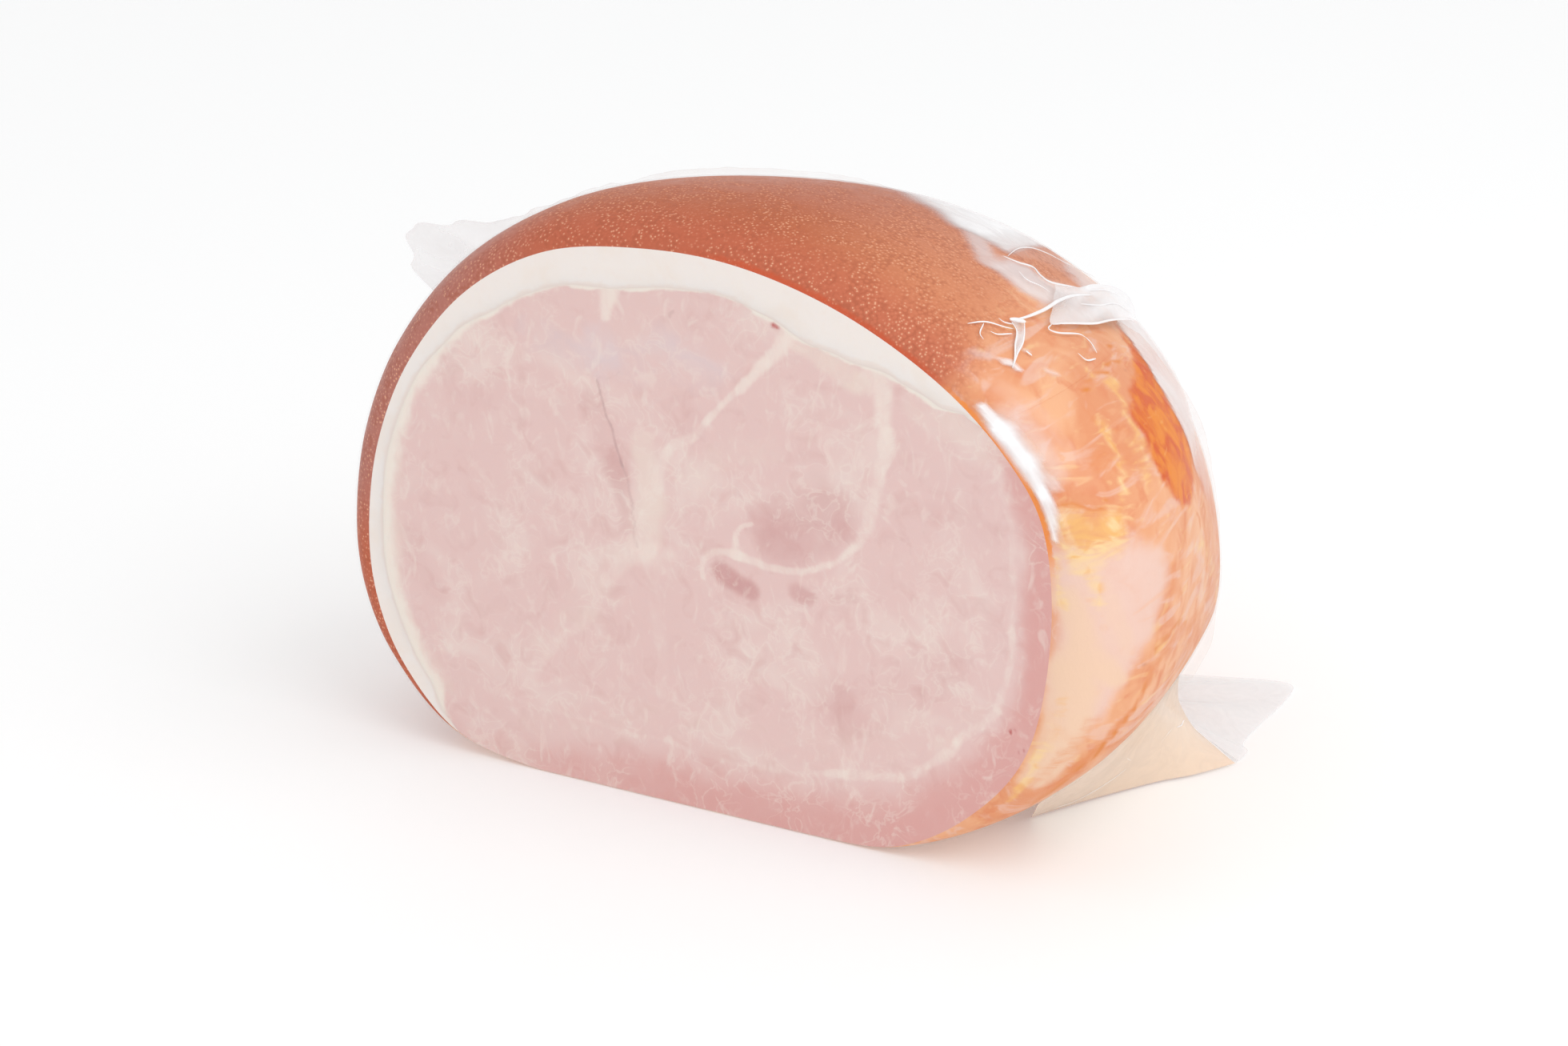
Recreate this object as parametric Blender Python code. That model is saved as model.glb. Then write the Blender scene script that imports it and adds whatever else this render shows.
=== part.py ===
"""Half of a boneless Prague ham in a tight clear film, standing on its flat underside.

The cut face looks along -Y. The origin is on the floor, under the middle of the flat underside.
Sizes are in millimetres until a point enters a mesh.
"""
import math

import bmesh
import bpy
import numpy as np

MM = 0.001

# The ham
CUT_PLANE = -50.0
LENGTH = 154.0
OUTLINE = (
    (-101.9, 60), (-98, 85), (-87, 110), (-68, 132.5), (-43, 147), (-14, 152), (14, 151.3), (43, 143.8),
    (70, 130), (89, 113.5), (99.5, 96), (102, 68), (96.5, 37), (81, 16), (60, 2.5), (36, 0), (5, 0),
    (-30, 0), (-54, 0.5), (-76, 6), (-92, 22), (-100, 40),
)
EDGE_ROLL = 24.0
BULGE_LEFT = 12.4
BULGE_RIGHT = 18.5
BULGE_TOP = 7.9
BACK_POLE = np.array((17.5, 94.1))
UPPER_TAPER_START = 29.8
UPPER_TAPER_POWER = 1.44
LOWER_TAPER_START = 97.5
LOWER_TAPER_POWER = 1.26
BACK_ROUNDNESS = 2.24

# The fat under the rind: its depth at angles round the cut face, from the right over the top to the left
FACE_CENTRE = np.array((0.0, 76.0))
FAT_RIGHT_END = 31.0
FAT_LEFT_END = 221.0
FAT_DEPTHS = (
    (31, 1.2), (36, 5), (44, 6.8), (54, 10.5), (62, 12), (72, 10), (82, 8.6), (94, 9.6), (108, 11),
    (122, 9.2), (136, 8.5), (148, 5.8), (160, 4), (175, 3.7), (190, 4.7), (205, 5.8), (214, 5), (221, 1.2),
)
FAT_THIN_START = 0.55
FAT_THIN_SHARE = 0.3
FAT_BACK_RINGS = 3
CUTTER_REACH = 3.0

# The film: a thin wall that clears the meat by a small gap, cut away just above the floor
GAP = 0.3
FILM_WALL = 0.35
FILM_OPENING = 0.3
SHEET_THICKNESS = 0.8

# The seal fin: its depth behind the cut face, and how far it stands out at angles round the ham.
# The tall stretches are the ears at the film's corners.
FIN_DEPTH = 67.5
FIN_SLANT = 7.5
FIN_ROOT = 1.2
FIN_START = -48.0
FIN_END = 226.0
FIN_COLUMNS = 106
FIN_ROWS = 3
FIN_WAVE = 1.2
FIN_WAVE_COUNT = 9
FIN_WAVE_REACH = 6.0
FIN_HEIGHTS = (
    (-48, 0.8), (-36, 4), (-20, 4.5), (2, 4), (19, 4.5), (26, 7), (34, 8.5), (43, 7.5), (50, 3.5), (62, 3.5),
    (78, 3), (95, 2.5), (112, 2.6), (126, 3.2), (137, 6.5), (146, 10.5), (152, 18), (158.5, 36), (164, 24),
    (169, 10), (176, 3), (190, 3), (198, 6), (206, 13), (213, 6), (220, 2.5), (226, 0.8),
)
EAR_LEAN = 0.12
EAR_LEAN_START = 8.0

# The crumpled flap, folded forward over the top right of the ham, as angles and depths
FLAP_ROOT = ((51, 73), (46, 74), (40, 74), (34, 74), (27, 74))
FLAP_EDGE = ((51, 63), (46, 55), (41, 30), (35, 24), (29, 62))
FLAP_STEPS = 14
FLAP_REACH_STEPS = 7
FLAP_CLEARANCE = 0.5
FLAP_LIFT = 2.6
FLAP_FOLD = 1.3
FLAP_FOLD_TURN = 1.9

# The tail on the floor: where it leaves the ham, and its free edge
TAIL_ROOT = (
    (93, 15, 16), (105, 28, 28), (111, 48, 36), (106, 74, 34), (95, 92, 24), (82, 100, 13), (66, 102, 6),
    (40, 100, 2),
)
TAIL_EDGE = (
    (91, 48, 1), (105, 75, 1), (116, 94, 1), (115, 105, 1), (113, 122, 1), (109, 148, 1), (104, 153, 1),
    (56, 134, 1),
)
TAIL_STEPS = 24
TAIL_REACH_STEPS = 6
TAIL_FOLD = 1.0
TAIL_FOLD_TURN = 1.3

COLUMNS = 56
ROLL_RINGS = 6
BACK_RINGS = 14
OUTLINE_STEPS = 16

LEAN_COLOUR = (0.80, 0.57, 0.55, 1)
FAT_COLOUR = (0.88, 0.82, 0.74, 1)
FILM_COLOUR = (0.90, 0.92, 0.94, 0.25)


def clear_scene():
    for thing in list(bpy.data.objects):
        bpy.data.objects.remove(thing, do_unlink=True)


def spline(before, start, end, after, share):
    """A point on the smooth curve from start to end."""
    return 0.5 * (
        2 * start
        + (end - before) * share
        + (2 * before - 5 * start + 4 * end - after) * share ** 2
        + (3 * start - before - 3 * end + after) * share ** 3
    )


def smooth_line(points, count, closed=False):
    """Evenly spaced points on a smooth curve through the given points."""
    points = np.array(points, float)
    if closed:
        points = np.concatenate((points[-1:], points, points[:2]))
    else:
        points = np.concatenate((2 * points[:1] - points[1:2], points, 2 * points[-1:] - points[-2:-1]))
    fine = [
        spline(*points[i:i + 4], step / OUTLINE_STEPS)
        for i in range(len(points) - 3)
        for step in range(OUTLINE_STEPS)
    ]
    fine = np.array(fine + [points[-2]])
    travelled = np.concatenate(((0,), np.cumsum(np.linalg.norm(np.diff(fine, axis=0), axis=1))))
    wanted = np.linspace(0, travelled[-1], count, endpoint=not closed)
    return np.stack([np.interp(wanted, travelled, axis) for axis in fine.T], 1)


def smooth_value(table, at):
    """A value read from a table of places and values, with an even swell between them."""
    places, values = np.array(table, float).T
    at = np.clip(at, places[0], places[-1])
    index = np.clip(np.searchsorted(places, at) - 1, 0, len(places) - 2)
    share = (at - places[index]) / (places[index + 1] - places[index])
    ease = share * share * (3 - 2 * share)
    return values[index] * (1 - ease) + values[index + 1] * ease


def outward(outline):
    """Directions at right angles to a closed outline that runs clockwise."""
    along = np.roll(outline, -1, 0) - np.roll(outline, 1, 0)
    out = np.stack((-along[:, 1], along[:, 0]), 1)
    return out / np.linalg.norm(out, axis=1)[:, None]


def face_outline():
    outline = smooth_line(OUTLINE, COLUMNS, closed=True)
    outline[:, 1] = np.maximum(outline[:, 1], 0)
    return outline


def face_angles(points):
    """Angles round the middle of the cut face, in degrees from the right, up to 270."""
    angles = np.degrees(np.arctan2(points[:, 1] - FACE_CENTRE[1], points[:, 0] - FACE_CENTRE[0]))
    return np.where(angles < -90, angles + 360, angles)


def taper(share, start, power):
    """How far a section has shrunk towards the back, from 1 at its full size to 0 at the back pole."""
    start = start / LENGTH
    past = max(0.0, (share - start) / (1 - start))
    return max(0.0, 1 - past ** power) ** (1 / BACK_ROUNDNESS)


def section(outline, out, share, inset):
    """The ham's section at a share of its length, drawn in by inset."""
    roll = math.sqrt(1 - (1 - min(share * LENGTH / EDGE_ROLL, 1)) ** 2)
    bulge = np.stack(
        (
            np.where(out[:, 0] < 0, BULGE_LEFT, BULGE_RIGHT),
            np.where(out[:, 1] > 0, BULGE_TOP, 0),
        ),
        1,
    )
    edge = outline + out * (bulge * roll - inset[:, None])
    upper = taper(share, UPPER_TAPER_START, UPPER_TAPER_POWER)
    lower = taper(share, LOWER_TAPER_START, LOWER_TAPER_POWER)
    low = np.clip(1 - edge[:, 1] / BACK_POLE[1], 0, 1)
    scale = upper * (1 - low) + lower * low
    return BACK_POLE + (edge - BACK_POLE) * scale[:, None]


def ring_shares():
    """The rings' places as shares of the length, closer together where the cut edge rolls over."""
    roll = EDGE_ROLL * (1 - np.cos(np.linspace(0, math.pi / 2, ROLL_RINGS + 1)))
    first = math.asin(EDGE_ROLL / LENGTH)
    back = LENGTH * np.sin(np.linspace(first, math.pi / 2, BACK_RINGS + 1)[1:-1])
    return np.concatenate((roll, back)) / LENGTH


def skin(inset_at):
    """Rings of points on the ham's surface, or below it by what inset_at gives for each ring."""
    outline = face_outline()
    out = outward(outline)
    rings = []
    for share in ring_shares():
        inset = inset_at(share) * np.ones(COLUMNS)
        front = np.minimum(inset, 0)
        flat = section(outline, out, share, inset)
        depth = CUT_PLANE + front + (LENGTH - inset - front) * share
        rings.append(np.stack((flat[:, 0], depth, flat[:, 1]), 1))
    return np.array(rings)


def surface_point(angle, depth, lift):
    """A point over the ham's surface at an angle round the cut face and a depth behind it."""
    outline = face_outline()
    flat = section(outline, outward(outline), depth / LENGTH, np.full(COLUMNS, -lift))
    angles = face_angles(flat)
    order = np.argsort(angles)
    x, z = (np.interp(angle, angles[order], flat[order, axis]) for axis in (0, 1))
    return np.array((x, CUT_PLANE + depth, z))


def finish_mesh(name, bm, colour, roughness):
    """Turn a bmesh in millimetres into a named object with its own material."""
    bmesh.ops.scale(bm, vec=(MM, MM, MM), verts=bm.verts)
    bmesh.ops.recalc_face_normals(bm, faces=bm.faces)
    mesh = bpy.data.meshes.new(name)
    bm.to_mesh(mesh)
    bm.free()
    mesh.shade_smooth()
    mesh.set_sharp_from_angle(angle=math.radians(40))
    material = bpy.data.materials.new(name)
    material.use_nodes = True
    shader = material.node_tree.nodes["Principled BSDF"]
    shader.inputs["Base Color"].default_value = colour
    shader.inputs["Alpha"].default_value = colour[3]
    shader.inputs["Roughness"].default_value = roughness
    shader.inputs["Metallic"].default_value = 0.0
    mesh.materials.append(material)
    thing = bpy.data.objects.new(name, mesh)
    bpy.context.collection.objects.link(thing)
    return thing


def ham_form(name, inset, colour, roughness):
    """The whole ham as one closed form: rings bridged from the cut face to the back."""
    bm = bmesh.new()
    loops = []
    for ring in skin(lambda share: inset):
        verts = [bm.verts.new(point) for point in ring]
        loops.append([bm.edges.new(pair) for pair in zip(verts, verts[1:] + verts[:1])])
    for front, back in zip(loops, loops[1:]):
        bmesh.ops.bridge_loops(bm, edges=front + back)
    bmesh.ops.edgeloop_fill(bm, edges=loops[0])
    cap = bmesh.ops.edgeloop_fill(bm, edges=loops[-1])["faces"]
    tip = bmesh.ops.poke(bm, faces=cap)["verts"][0]
    tip.co = (BACK_POLE[0], CUT_PLANE + LENGTH - inset, BACK_POLE[1])
    return finish_mesh(name, bm, colour, roughness)


def sheet(bm, grid):
    """A sheet whose points are those of the grid. Returns its rim."""
    rows, columns = grid.shape[:2]
    verts = bmesh.ops.create_grid(bm, x_segments=columns - 1, y_segments=rows - 1, size=1)["verts"]
    for vert, point in zip(verts, grid.reshape(-1, 3)):
        vert.co = point
    edges = {edge for vert in verts for edge in vert.link_edges}
    return [edge for edge in edges if edge.is_boundary]


def slab(name, outer, inner, colour=FILM_COLOUR, roughness=0.1):
    """A closed slab between two grids of points that face each other."""
    bm = bmesh.new()
    rim = sheet(bm, outer) + sheet(bm, inner)
    bmesh.ops.bridge_loops(bm, edges=rim)
    bmesh.ops.triangulate(bm, faces=bm.faces, quad_method="FIXED")
    return finish_mesh(name, bm, colour, roughness)


def normals(grid):
    """Directions at right angles to a sheet of points."""
    across = np.gradient(grid, axis=1)
    along = np.gradient(grid, axis=0)
    out = np.cross(across, along)
    return out / np.linalg.norm(out, axis=2)[:, :, None]


def thin_slab(name, grid, thickness):
    """A thin wavy sheet, both faces split alike."""
    half = normals(grid) * thickness / 2
    return slab(name, grid + half, grid - half)


def fat_columns():
    """The columns that the fat covers, in order round the cut face."""
    angles = face_angles(face_outline())
    inside = [i for i in range(COLUMNS) if FAT_RIGHT_END <= angles[i] <= FAT_LEFT_END]
    return sorted(inside, key=lambda i: -angles[i])


def fat_inset(extra):
    """The fat's depth at each ring: it thins towards the back."""
    angles = face_angles(face_outline())

    def inset_at(share):
        past = max(0.0, (share - FAT_THIN_START) / (1 - FAT_THIN_START))
        return smooth_value(FAT_DEPTHS, angles) * (1 - past * (1 - FAT_THIN_SHARE)) + extra

    return inset_at


def pushed_out(end, beside):
    """A line of points moved away from the line beside it by the gap."""
    step = end - beside
    return end + step / np.linalg.norm(step, axis=1)[:, None] * GAP


def with_room(grid):
    """The grid reaching past the cut plane in front and by the gap at its other three ends."""
    grid = grid.copy()
    grid[:, 0] = pushed_out(grid[:, 0], grid[:, 1])
    grid[:, -1] = pushed_out(grid[:, -1], grid[:, -2])
    grid[-1] = pushed_out(grid[-1], grid[-2])
    front = grid[:1].copy()
    front[:, :, 1] = CUT_PLANE - 2 * CUTTER_REACH
    return np.concatenate((front, grid))


def make_fat():
    columns = fat_columns()
    outer = skin(lambda share: 0.0)[:-FAT_BACK_RINGS, columns]
    inner = skin(fat_inset(0.0))[:-FAT_BACK_RINGS, columns]
    return slab("fat_cap", outer, inner, FAT_COLOUR, 0.4)


def make_fat_cutter():
    """The fat's form with room around it, to be cut from the lean."""
    columns = fat_columns()
    outer = skin(lambda share: 0.0)[:-FAT_BACK_RINGS, columns]
    inner = skin(fat_inset(GAP))[:-FAT_BACK_RINGS, columns]
    upward = outer - inner
    outer += upward / np.linalg.norm(upward, axis=2)[:, :, None] * CUTTER_REACH
    return slab("fat_room", with_room(outer), with_room(inner))


def cut(thing, operation, tool):
    """A Boolean with a tool that stays out of the model."""
    step = thing.modifiers.new(tool.name, "BOOLEAN")
    step.operation = operation
    step.solver = "EXACT"
    step.object = tool
    tool.display_type = "WIRE"
    tool.hide_render = True


def make_fin():
    """The seal fin round the film, with its ears at the corners."""
    angles = np.linspace(FIN_START, FIN_END, FIN_COLUMNS)
    heights = smooth_value(FIN_HEIGHTS, angles)
    grid = np.zeros((FIN_ROWS + 1, FIN_COLUMNS, 3))
    for column, (angle, height) in enumerate(zip(angles, heights)):
        depth = FIN_DEPTH + FIN_SLANT * math.cos(math.radians(angle))
        wave = FIN_WAVE * math.sin(math.radians(angle * FIN_WAVE_COUNT))
        root = surface_point(angle, depth, -FIN_ROOT)
        away = surface_point(angle, depth, FIN_ROOT) - root
        away /= np.linalg.norm(away)
        for row in range(FIN_ROWS + 1):
            reach = row / FIN_ROWS * (height + FIN_ROOT)
            lean = EAR_LEAN * max(reach - EAR_LEAN_START, 0)
            grid[row, column] = root + away * reach
            grid[row, column, 1] += wave * min(reach / FIN_WAVE_REACH, 1) - lean
    return thin_slab("fin", grid, SHEET_THICKNESS)


def make_flap():
    """The flap: a sheet folded forward from the fin, clear of the film below it except at its root."""
    root = smooth_line(FLAP_ROOT, FLAP_STEPS + 1)
    edge = smooth_line(FLAP_EDGE, FLAP_STEPS + 1)
    grid = np.zeros((FLAP_REACH_STEPS + 1, FLAP_STEPS + 1, 3))
    for row in range(FLAP_REACH_STEPS + 1):
        share = row / FLAP_REACH_STEPS
        for column in range(FLAP_STEPS + 1):
            angle, depth = root[column] * (1 - share) + edge[column] * share
            arch = math.sin(share * math.pi * 0.75)
            fold = FLAP_FOLD * math.sin(column * FLAP_FOLD_TURN + share * math.pi)
            lift = FLAP_CLEARANCE + max((FLAP_LIFT + fold) * arch, 0)
            grid[row, column] = surface_point(angle, depth, lift)
    return thin_slab("flap", grid, SHEET_THICKNESS)


def make_tail():
    """The tail: a sheet that leaves the lower right side and spreads on the floor."""
    root = smooth_line(TAIL_ROOT, TAIL_STEPS + 1)
    edge = smooth_line(TAIL_EDGE, TAIL_STEPS + 1)
    grid = np.zeros((TAIL_REACH_STEPS + 1, TAIL_STEPS + 1, 3))
    for row in range(TAIL_REACH_STEPS + 1):
        share = row / TAIL_REACH_STEPS
        for column in range(TAIL_STEPS + 1):
            point = root[column] * (1 - share) + edge[column] * share
            point[2] += TAIL_FOLD * math.sin(column * TAIL_FOLD_TURN) * math.sin(share * math.pi)
            point[1] += CUT_PLANE
            grid[row, column] = point
    return thin_slab("tail", grid, SHEET_THICKNESS)


def make_floor_cutter():
    bm = bmesh.new()
    bmesh.ops.create_cube(bm, size=1)
    bmesh.ops.scale(bm, vec=(600, 600, 40), verts=bm.verts)
    bmesh.ops.translate(bm, vec=(0, 0, FILM_OPENING - 20), verts=bm.verts)
    return finish_mesh("floor_room", bm, FILM_COLOUR, 0.1)


def make_film():
    """The film: a thin wall all round the ham, open under it, with fin, flap and tail."""
    film = ham_form("film", -(GAP + FILM_WALL), FILM_COLOUR, 0.1)
    for extra in (make_fin(), make_flap(), make_tail()):
        cut(film, "UNION", extra)
    cut(film, "DIFFERENCE", ham_form("ham_room", -GAP, FILM_COLOUR, 0.1))
    cut(film, "DIFFERENCE", make_floor_cutter())
    return film


def make_lean():
    lean = ham_form("lean_meat", 0.0, LEAN_COLOUR, 0.35)
    cut(lean, "DIFFERENCE", make_fat_cutter())
    return lean


clear_scene()
make_lean()
make_fat()
make_film()
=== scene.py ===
# %% [markdown]
# # Half a pressed ham in clear film
# A boneless ham is pressed into a mould, cooked, smoked, cut in half and sealed in shrink film.
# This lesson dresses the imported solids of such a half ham. The solids give the place and size of
# everything: the lean meat, the fat under the rind, and the film. Each of them is replaced here by a
# finer form that follows the same named sizes, and gets the finish of the real thing.

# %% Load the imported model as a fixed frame
import math

import bmesh
import bpy
import numpy as np
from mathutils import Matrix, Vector, noise


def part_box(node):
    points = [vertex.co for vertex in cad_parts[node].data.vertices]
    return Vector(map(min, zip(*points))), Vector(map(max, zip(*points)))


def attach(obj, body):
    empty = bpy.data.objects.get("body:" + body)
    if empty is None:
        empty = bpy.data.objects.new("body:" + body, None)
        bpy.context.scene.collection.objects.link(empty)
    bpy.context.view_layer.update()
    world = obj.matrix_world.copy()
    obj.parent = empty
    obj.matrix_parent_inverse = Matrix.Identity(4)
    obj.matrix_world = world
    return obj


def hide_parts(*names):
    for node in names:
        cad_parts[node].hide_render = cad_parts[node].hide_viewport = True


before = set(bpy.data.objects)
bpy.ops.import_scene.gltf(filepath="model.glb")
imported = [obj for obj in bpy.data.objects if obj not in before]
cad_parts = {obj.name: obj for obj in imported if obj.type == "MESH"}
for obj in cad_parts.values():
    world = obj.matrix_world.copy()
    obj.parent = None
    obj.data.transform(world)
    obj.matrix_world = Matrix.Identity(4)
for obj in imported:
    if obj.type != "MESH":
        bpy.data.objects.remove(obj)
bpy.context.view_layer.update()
print("nodes:", sorted(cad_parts))

# %% [markdown]
# ## The camera
# The photo looks down on the cut face from the right. A camera is placed by three numbers that a
# photographer would name: how far round it stands, how high, and how far away. Its lens is a long one,
# so the ham's far end hardly shrinks. Turning the camera with `to_track_quat` keeps it level.

# %% Camera
VIEW_ROUND = math.radians(29)
VIEW_HEIGHT = math.radians(21)
VIEW_DISTANCE = 1.0
LOOK_AT = Vector((-0.0007, 0.0, 0.0636))
LENS = 85
SENSOR = 36

toward_camera = Vector((
    math.sin(VIEW_ROUND) * math.cos(VIEW_HEIGHT),
    -math.cos(VIEW_ROUND) * math.cos(VIEW_HEIGHT),
    math.sin(VIEW_HEIGHT),
))
lens = bpy.data.cameras.new("camera")
lens.lens = LENS
lens.sensor_width = SENSOR
camera = bpy.data.objects.new("camera", lens)
camera.location = LOOK_AT + toward_camera * VIEW_DISTANCE
camera.rotation_euler = (-toward_camera).to_track_quat("-Z", "Y").to_euler()
bpy.context.collection.objects.link(camera)
bpy.context.scene.camera = camera
print("camera stands at", [round(value, 3) for value in camera.location])

# %% [markdown]
# ## Colours
# Colours are easiest to choose as a screen shows them, from 0 to 255. Blender's shaders work with
# linear light, so one small function turns the first into the second.

# %% Colours as a screen shows them
def tone(red, green, blue):
    """A shader colour from screen values."""
    screen = np.array((red, green, blue)) / 255
    linear = np.where(screen > 0.04045, ((screen + 0.055) / 1.055) ** 2.4, screen / 12.92)
    return (*linear, 1.0)


# %% [markdown]
# ## Floor and light
# The ham stands on a white sweep in very even light, which the world gives. One large soft lamp high at
# the right leaves a soft shadow at the left, and a narrow one low in front puts a streak of light on the
# film. The floor glows a little, like paper on a light table, which keeps the shadows faint. It only
# catches them and isn't part of the ham. The plain Standard view keeps white paper white.

# %% Floor
FLOOR_HALF = 6.0
FLOOR_DROP = 0.0003
FLOOR_COLOUR = (0.77, 0.774, 0.776, 1)
FLOOR_GLOW = 0.225

bm = bmesh.new()
bmesh.ops.create_grid(bm, x_segments=1, y_segments=1, size=FLOOR_HALF)
bmesh.ops.translate(bm, vec=(0, 0, -FLOOR_DROP), verts=bm.verts)
floor_mesh = bpy.data.meshes.new("floor")
bm.to_mesh(floor_mesh)
bm.free()
floor = bpy.data.objects.new("floor", floor_mesh)
bpy.context.collection.objects.link(floor)
paper = bpy.data.materials.new("white_paper")
paper.use_nodes = True
paper_shader = paper.node_tree.nodes["Principled BSDF"]
paper_shader.inputs["Base Color"].default_value = FLOOR_COLOUR
paper_shader.inputs["Emission Color"].default_value = (1, 1, 1, 1)
paper_shader.inputs["Emission Strength"].default_value = FLOOR_GLOW
paper_shader.inputs["Roughness"].default_value = 0.45
paper_shader.inputs["Specular IOR Level"].default_value = 0.25
floor_mesh.materials.append(paper)
print("the floor is", 2 * FLOOR_HALF, "m wide")

# %% Light
WORLD_STRENGTH = 0.87
LAMPS = (
    # name, place, width, height, watts
    ("key", (0.85, -0.2, 1.0), 1.1, 0.9, 5.0),
    ("front_strip", (0.55, -1.0, 0.14), 0.12, 0.35, 0.6),
)

bpy.context.scene.view_settings.view_transform = "Standard"
world = bpy.data.worlds.new("white_room")
world.use_nodes = True
world.node_tree.nodes["Background"].inputs["Color"].default_value = (1, 1, 1, 1)
world.node_tree.nodes["Background"].inputs["Strength"].default_value = WORLD_STRENGTH
bpy.context.scene.world = world
for name, place, width, height, watts in LAMPS:
    light = bpy.data.lights.new(name, "AREA")
    light.shape = "RECTANGLE"
    light.size = width
    light.size_y = height
    light.energy = watts
    lamp = bpy.data.objects.new(name, light)
    lamp.location = place
    lamp.rotation_euler = (Vector(place) - LOOK_AT).to_track_quat("Z", "Y").to_euler()
    bpy.context.collection.objects.link(lamp)
print("lamps:", [lamp[0] for lamp in LAMPS])

# %% [markdown]
# ## The ham's form
# The cut face has a smooth outline with a flat base, and it is drawn from a few points that a closed
# curve runs through. Behind the cut the meat bulges over, as pressed meat does where it was cut, and
# then it rounds off to the back. So every section behind the face is the same outline, pushed out by
# the bulge and shrunk towards one point at the back. All sizes here are in millimetres. The cut plane
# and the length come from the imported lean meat.

# %% Sizes of the form
MM = 0.001
lean_low, lean_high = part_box("lean_meat")
CUT_PLANE = lean_low.y / MM
LENGTH = (lean_high.y - lean_low.y) / MM
OUTLINE = (
    (-101.9, 60), (-98, 85), (-87, 110), (-68, 132.5), (-43, 147), (-14, 152), (14, 151.3), (43, 143.8),
    (70, 130), (89, 113.5), (99.5, 96), (102, 68), (96.5, 37), (81, 16), (60, 2.5), (36, 0), (5, 0),
    (-30, 0), (-54, 0.5), (-76, 6), (-92, 22), (-100, 40),
)
EDGE_ROLL = 24.0
BULGE_LEFT = 12.4
BULGE_RIGHT = 18.5
BULGE_TOP = 7.9
BACK_POLE = np.array((17.5, 94.1))
UPPER_TAPER = (29.8, 1.44)
LOWER_TAPER = (97.5, 1.26)
BACK_ROUNDNESS = 2.24
FACE_CENTRE = np.array((0.0, 76.0))
COLUMNS = 448
print("cut plane", round(CUT_PLANE, 2), "length", round(LENGTH, 2))


# %% Smooth curves and tables
def spline(before, start, end, after, share):
    """A point on the smooth curve from start to end."""
    return 0.5 * (
        2 * start
        + (end - before) * share
        + (2 * before - 5 * start + 4 * end - after) * share ** 2
        + (3 * start - before - 3 * end + after) * share ** 3
    )


def smooth_line(points, count, closed=False):
    """Evenly spaced points on a smooth curve through the given points."""
    fine_steps = 16
    points = np.array(points, float)
    if closed:
        points = np.concatenate((points[-1:], points, points[:2]))
    else:
        points = np.concatenate((2 * points[:1] - points[1:2], points, 2 * points[-1:] - points[-2:-1]))
    fine = [
        spline(*points[i:i + 4], step / fine_steps)
        for i in range(len(points) - 3)
        for step in range(fine_steps)
    ]
    fine = np.array(fine + [points[-2]])
    travelled = np.concatenate(((0,), np.cumsum(np.linalg.norm(np.diff(fine, axis=0), axis=1))))
    wanted = np.linspace(0, travelled[-1], count, endpoint=not closed)
    return np.stack([np.interp(wanted, travelled, axis) for axis in fine.T], 1)


def smooth_value(table, at):
    """A value read from a table of places and values, with an even swell between them."""
    places, values = np.array(table, float).T
    at = np.clip(at, places[0], places[-1])
    index = np.clip(np.searchsorted(places, at) - 1, 0, len(places) - 2)
    share = (at - places[index]) / (places[index + 1] - places[index])
    ease = share * share * (3 - 2 * share)
    return values[index] * (1 - ease) + values[index + 1] * ease


def eased(value, low, high):
    """0 below low, 1 above high, and a smooth rise between them."""
    share = np.clip((value - low) / (high - low), 0, 1)
    return share * share * (3 - 2 * share)


def cloud(points, size, seed):
    """Smooth random values from -1 to 1 at each point, with swells of that size."""
    shift = Vector((seed * 17.3, seed * 5.1, seed * 9.7))
    return np.array([noise.noise(Vector(point) / size + shift) for point in points])


# %% The outline and the sections behind it
outline = smooth_line(OUTLINE, COLUMNS, closed=True)
outline[:, 1] = np.maximum(outline[:, 1], 0)
tangent = np.roll(outline, -1, 0) - np.roll(outline, 1, 0)
outward = np.stack((-tangent[:, 1], tangent[:, 0]), 1)
outward /= np.linalg.norm(outward, axis=1)[:, None]
bulge = np.stack((
    np.where(outward[:, 0] < 0, BULGE_LEFT, BULGE_RIGHT),
    np.where(outward[:, 1] > 0, BULGE_TOP, 0),
), 1)


def angles_of(flat):
    """Angles round the middle of the cut face, in degrees from the right, up to 270."""
    angles = np.degrees(np.arctan2(flat[:, 1] - FACE_CENTRE[1], flat[:, 0] - FACE_CENTRE[0]))
    return np.where(angles < -90, angles + 360, angles)


def taper(share, start, power):
    """How far a section has shrunk towards the back, from 1 at its full size to 0 at the back."""
    start = start / LENGTH
    past = max(0.0, (share - start) / (1 - start))
    return max(0.0, 1 - past ** power) ** (1 / BACK_ROUNDNESS)


def section(share, inset):
    """The ham's section at a share of its length, drawn in by inset."""
    roll = math.sqrt(1 - (1 - min(share * LENGTH / EDGE_ROLL, 1)) ** 2)
    edge = outline + outward * (bulge * roll - inset[:, None])
    upper = taper(share, *UPPER_TAPER)
    lower = taper(share, *LOWER_TAPER)
    low = np.clip(1 - edge[:, 1] / BACK_POLE[1], 0, 1)
    scale = upper * (1 - low) + lower * low
    return BACK_POLE + (edge - BACK_POLE) * scale[:, None]


def ring(share, inset):
    """A ring of points in the model's own frame. A negative inset also moves it in front of the cut."""
    inset = inset * np.ones(COLUMNS)
    front = np.minimum(inset, 0)
    flat = section(share, inset)
    depth = CUT_PLANE + front + (LENGTH - inset - front) * share
    return np.stack((flat[:, 0], depth, flat[:, 1]), 1)


outline_angles = angles_of(outline)
print("outline", round(float(np.ptp(outline[:, 0])), 1), "by", round(float(np.ptp(outline[:, 1])), 1), "mm")


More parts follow.
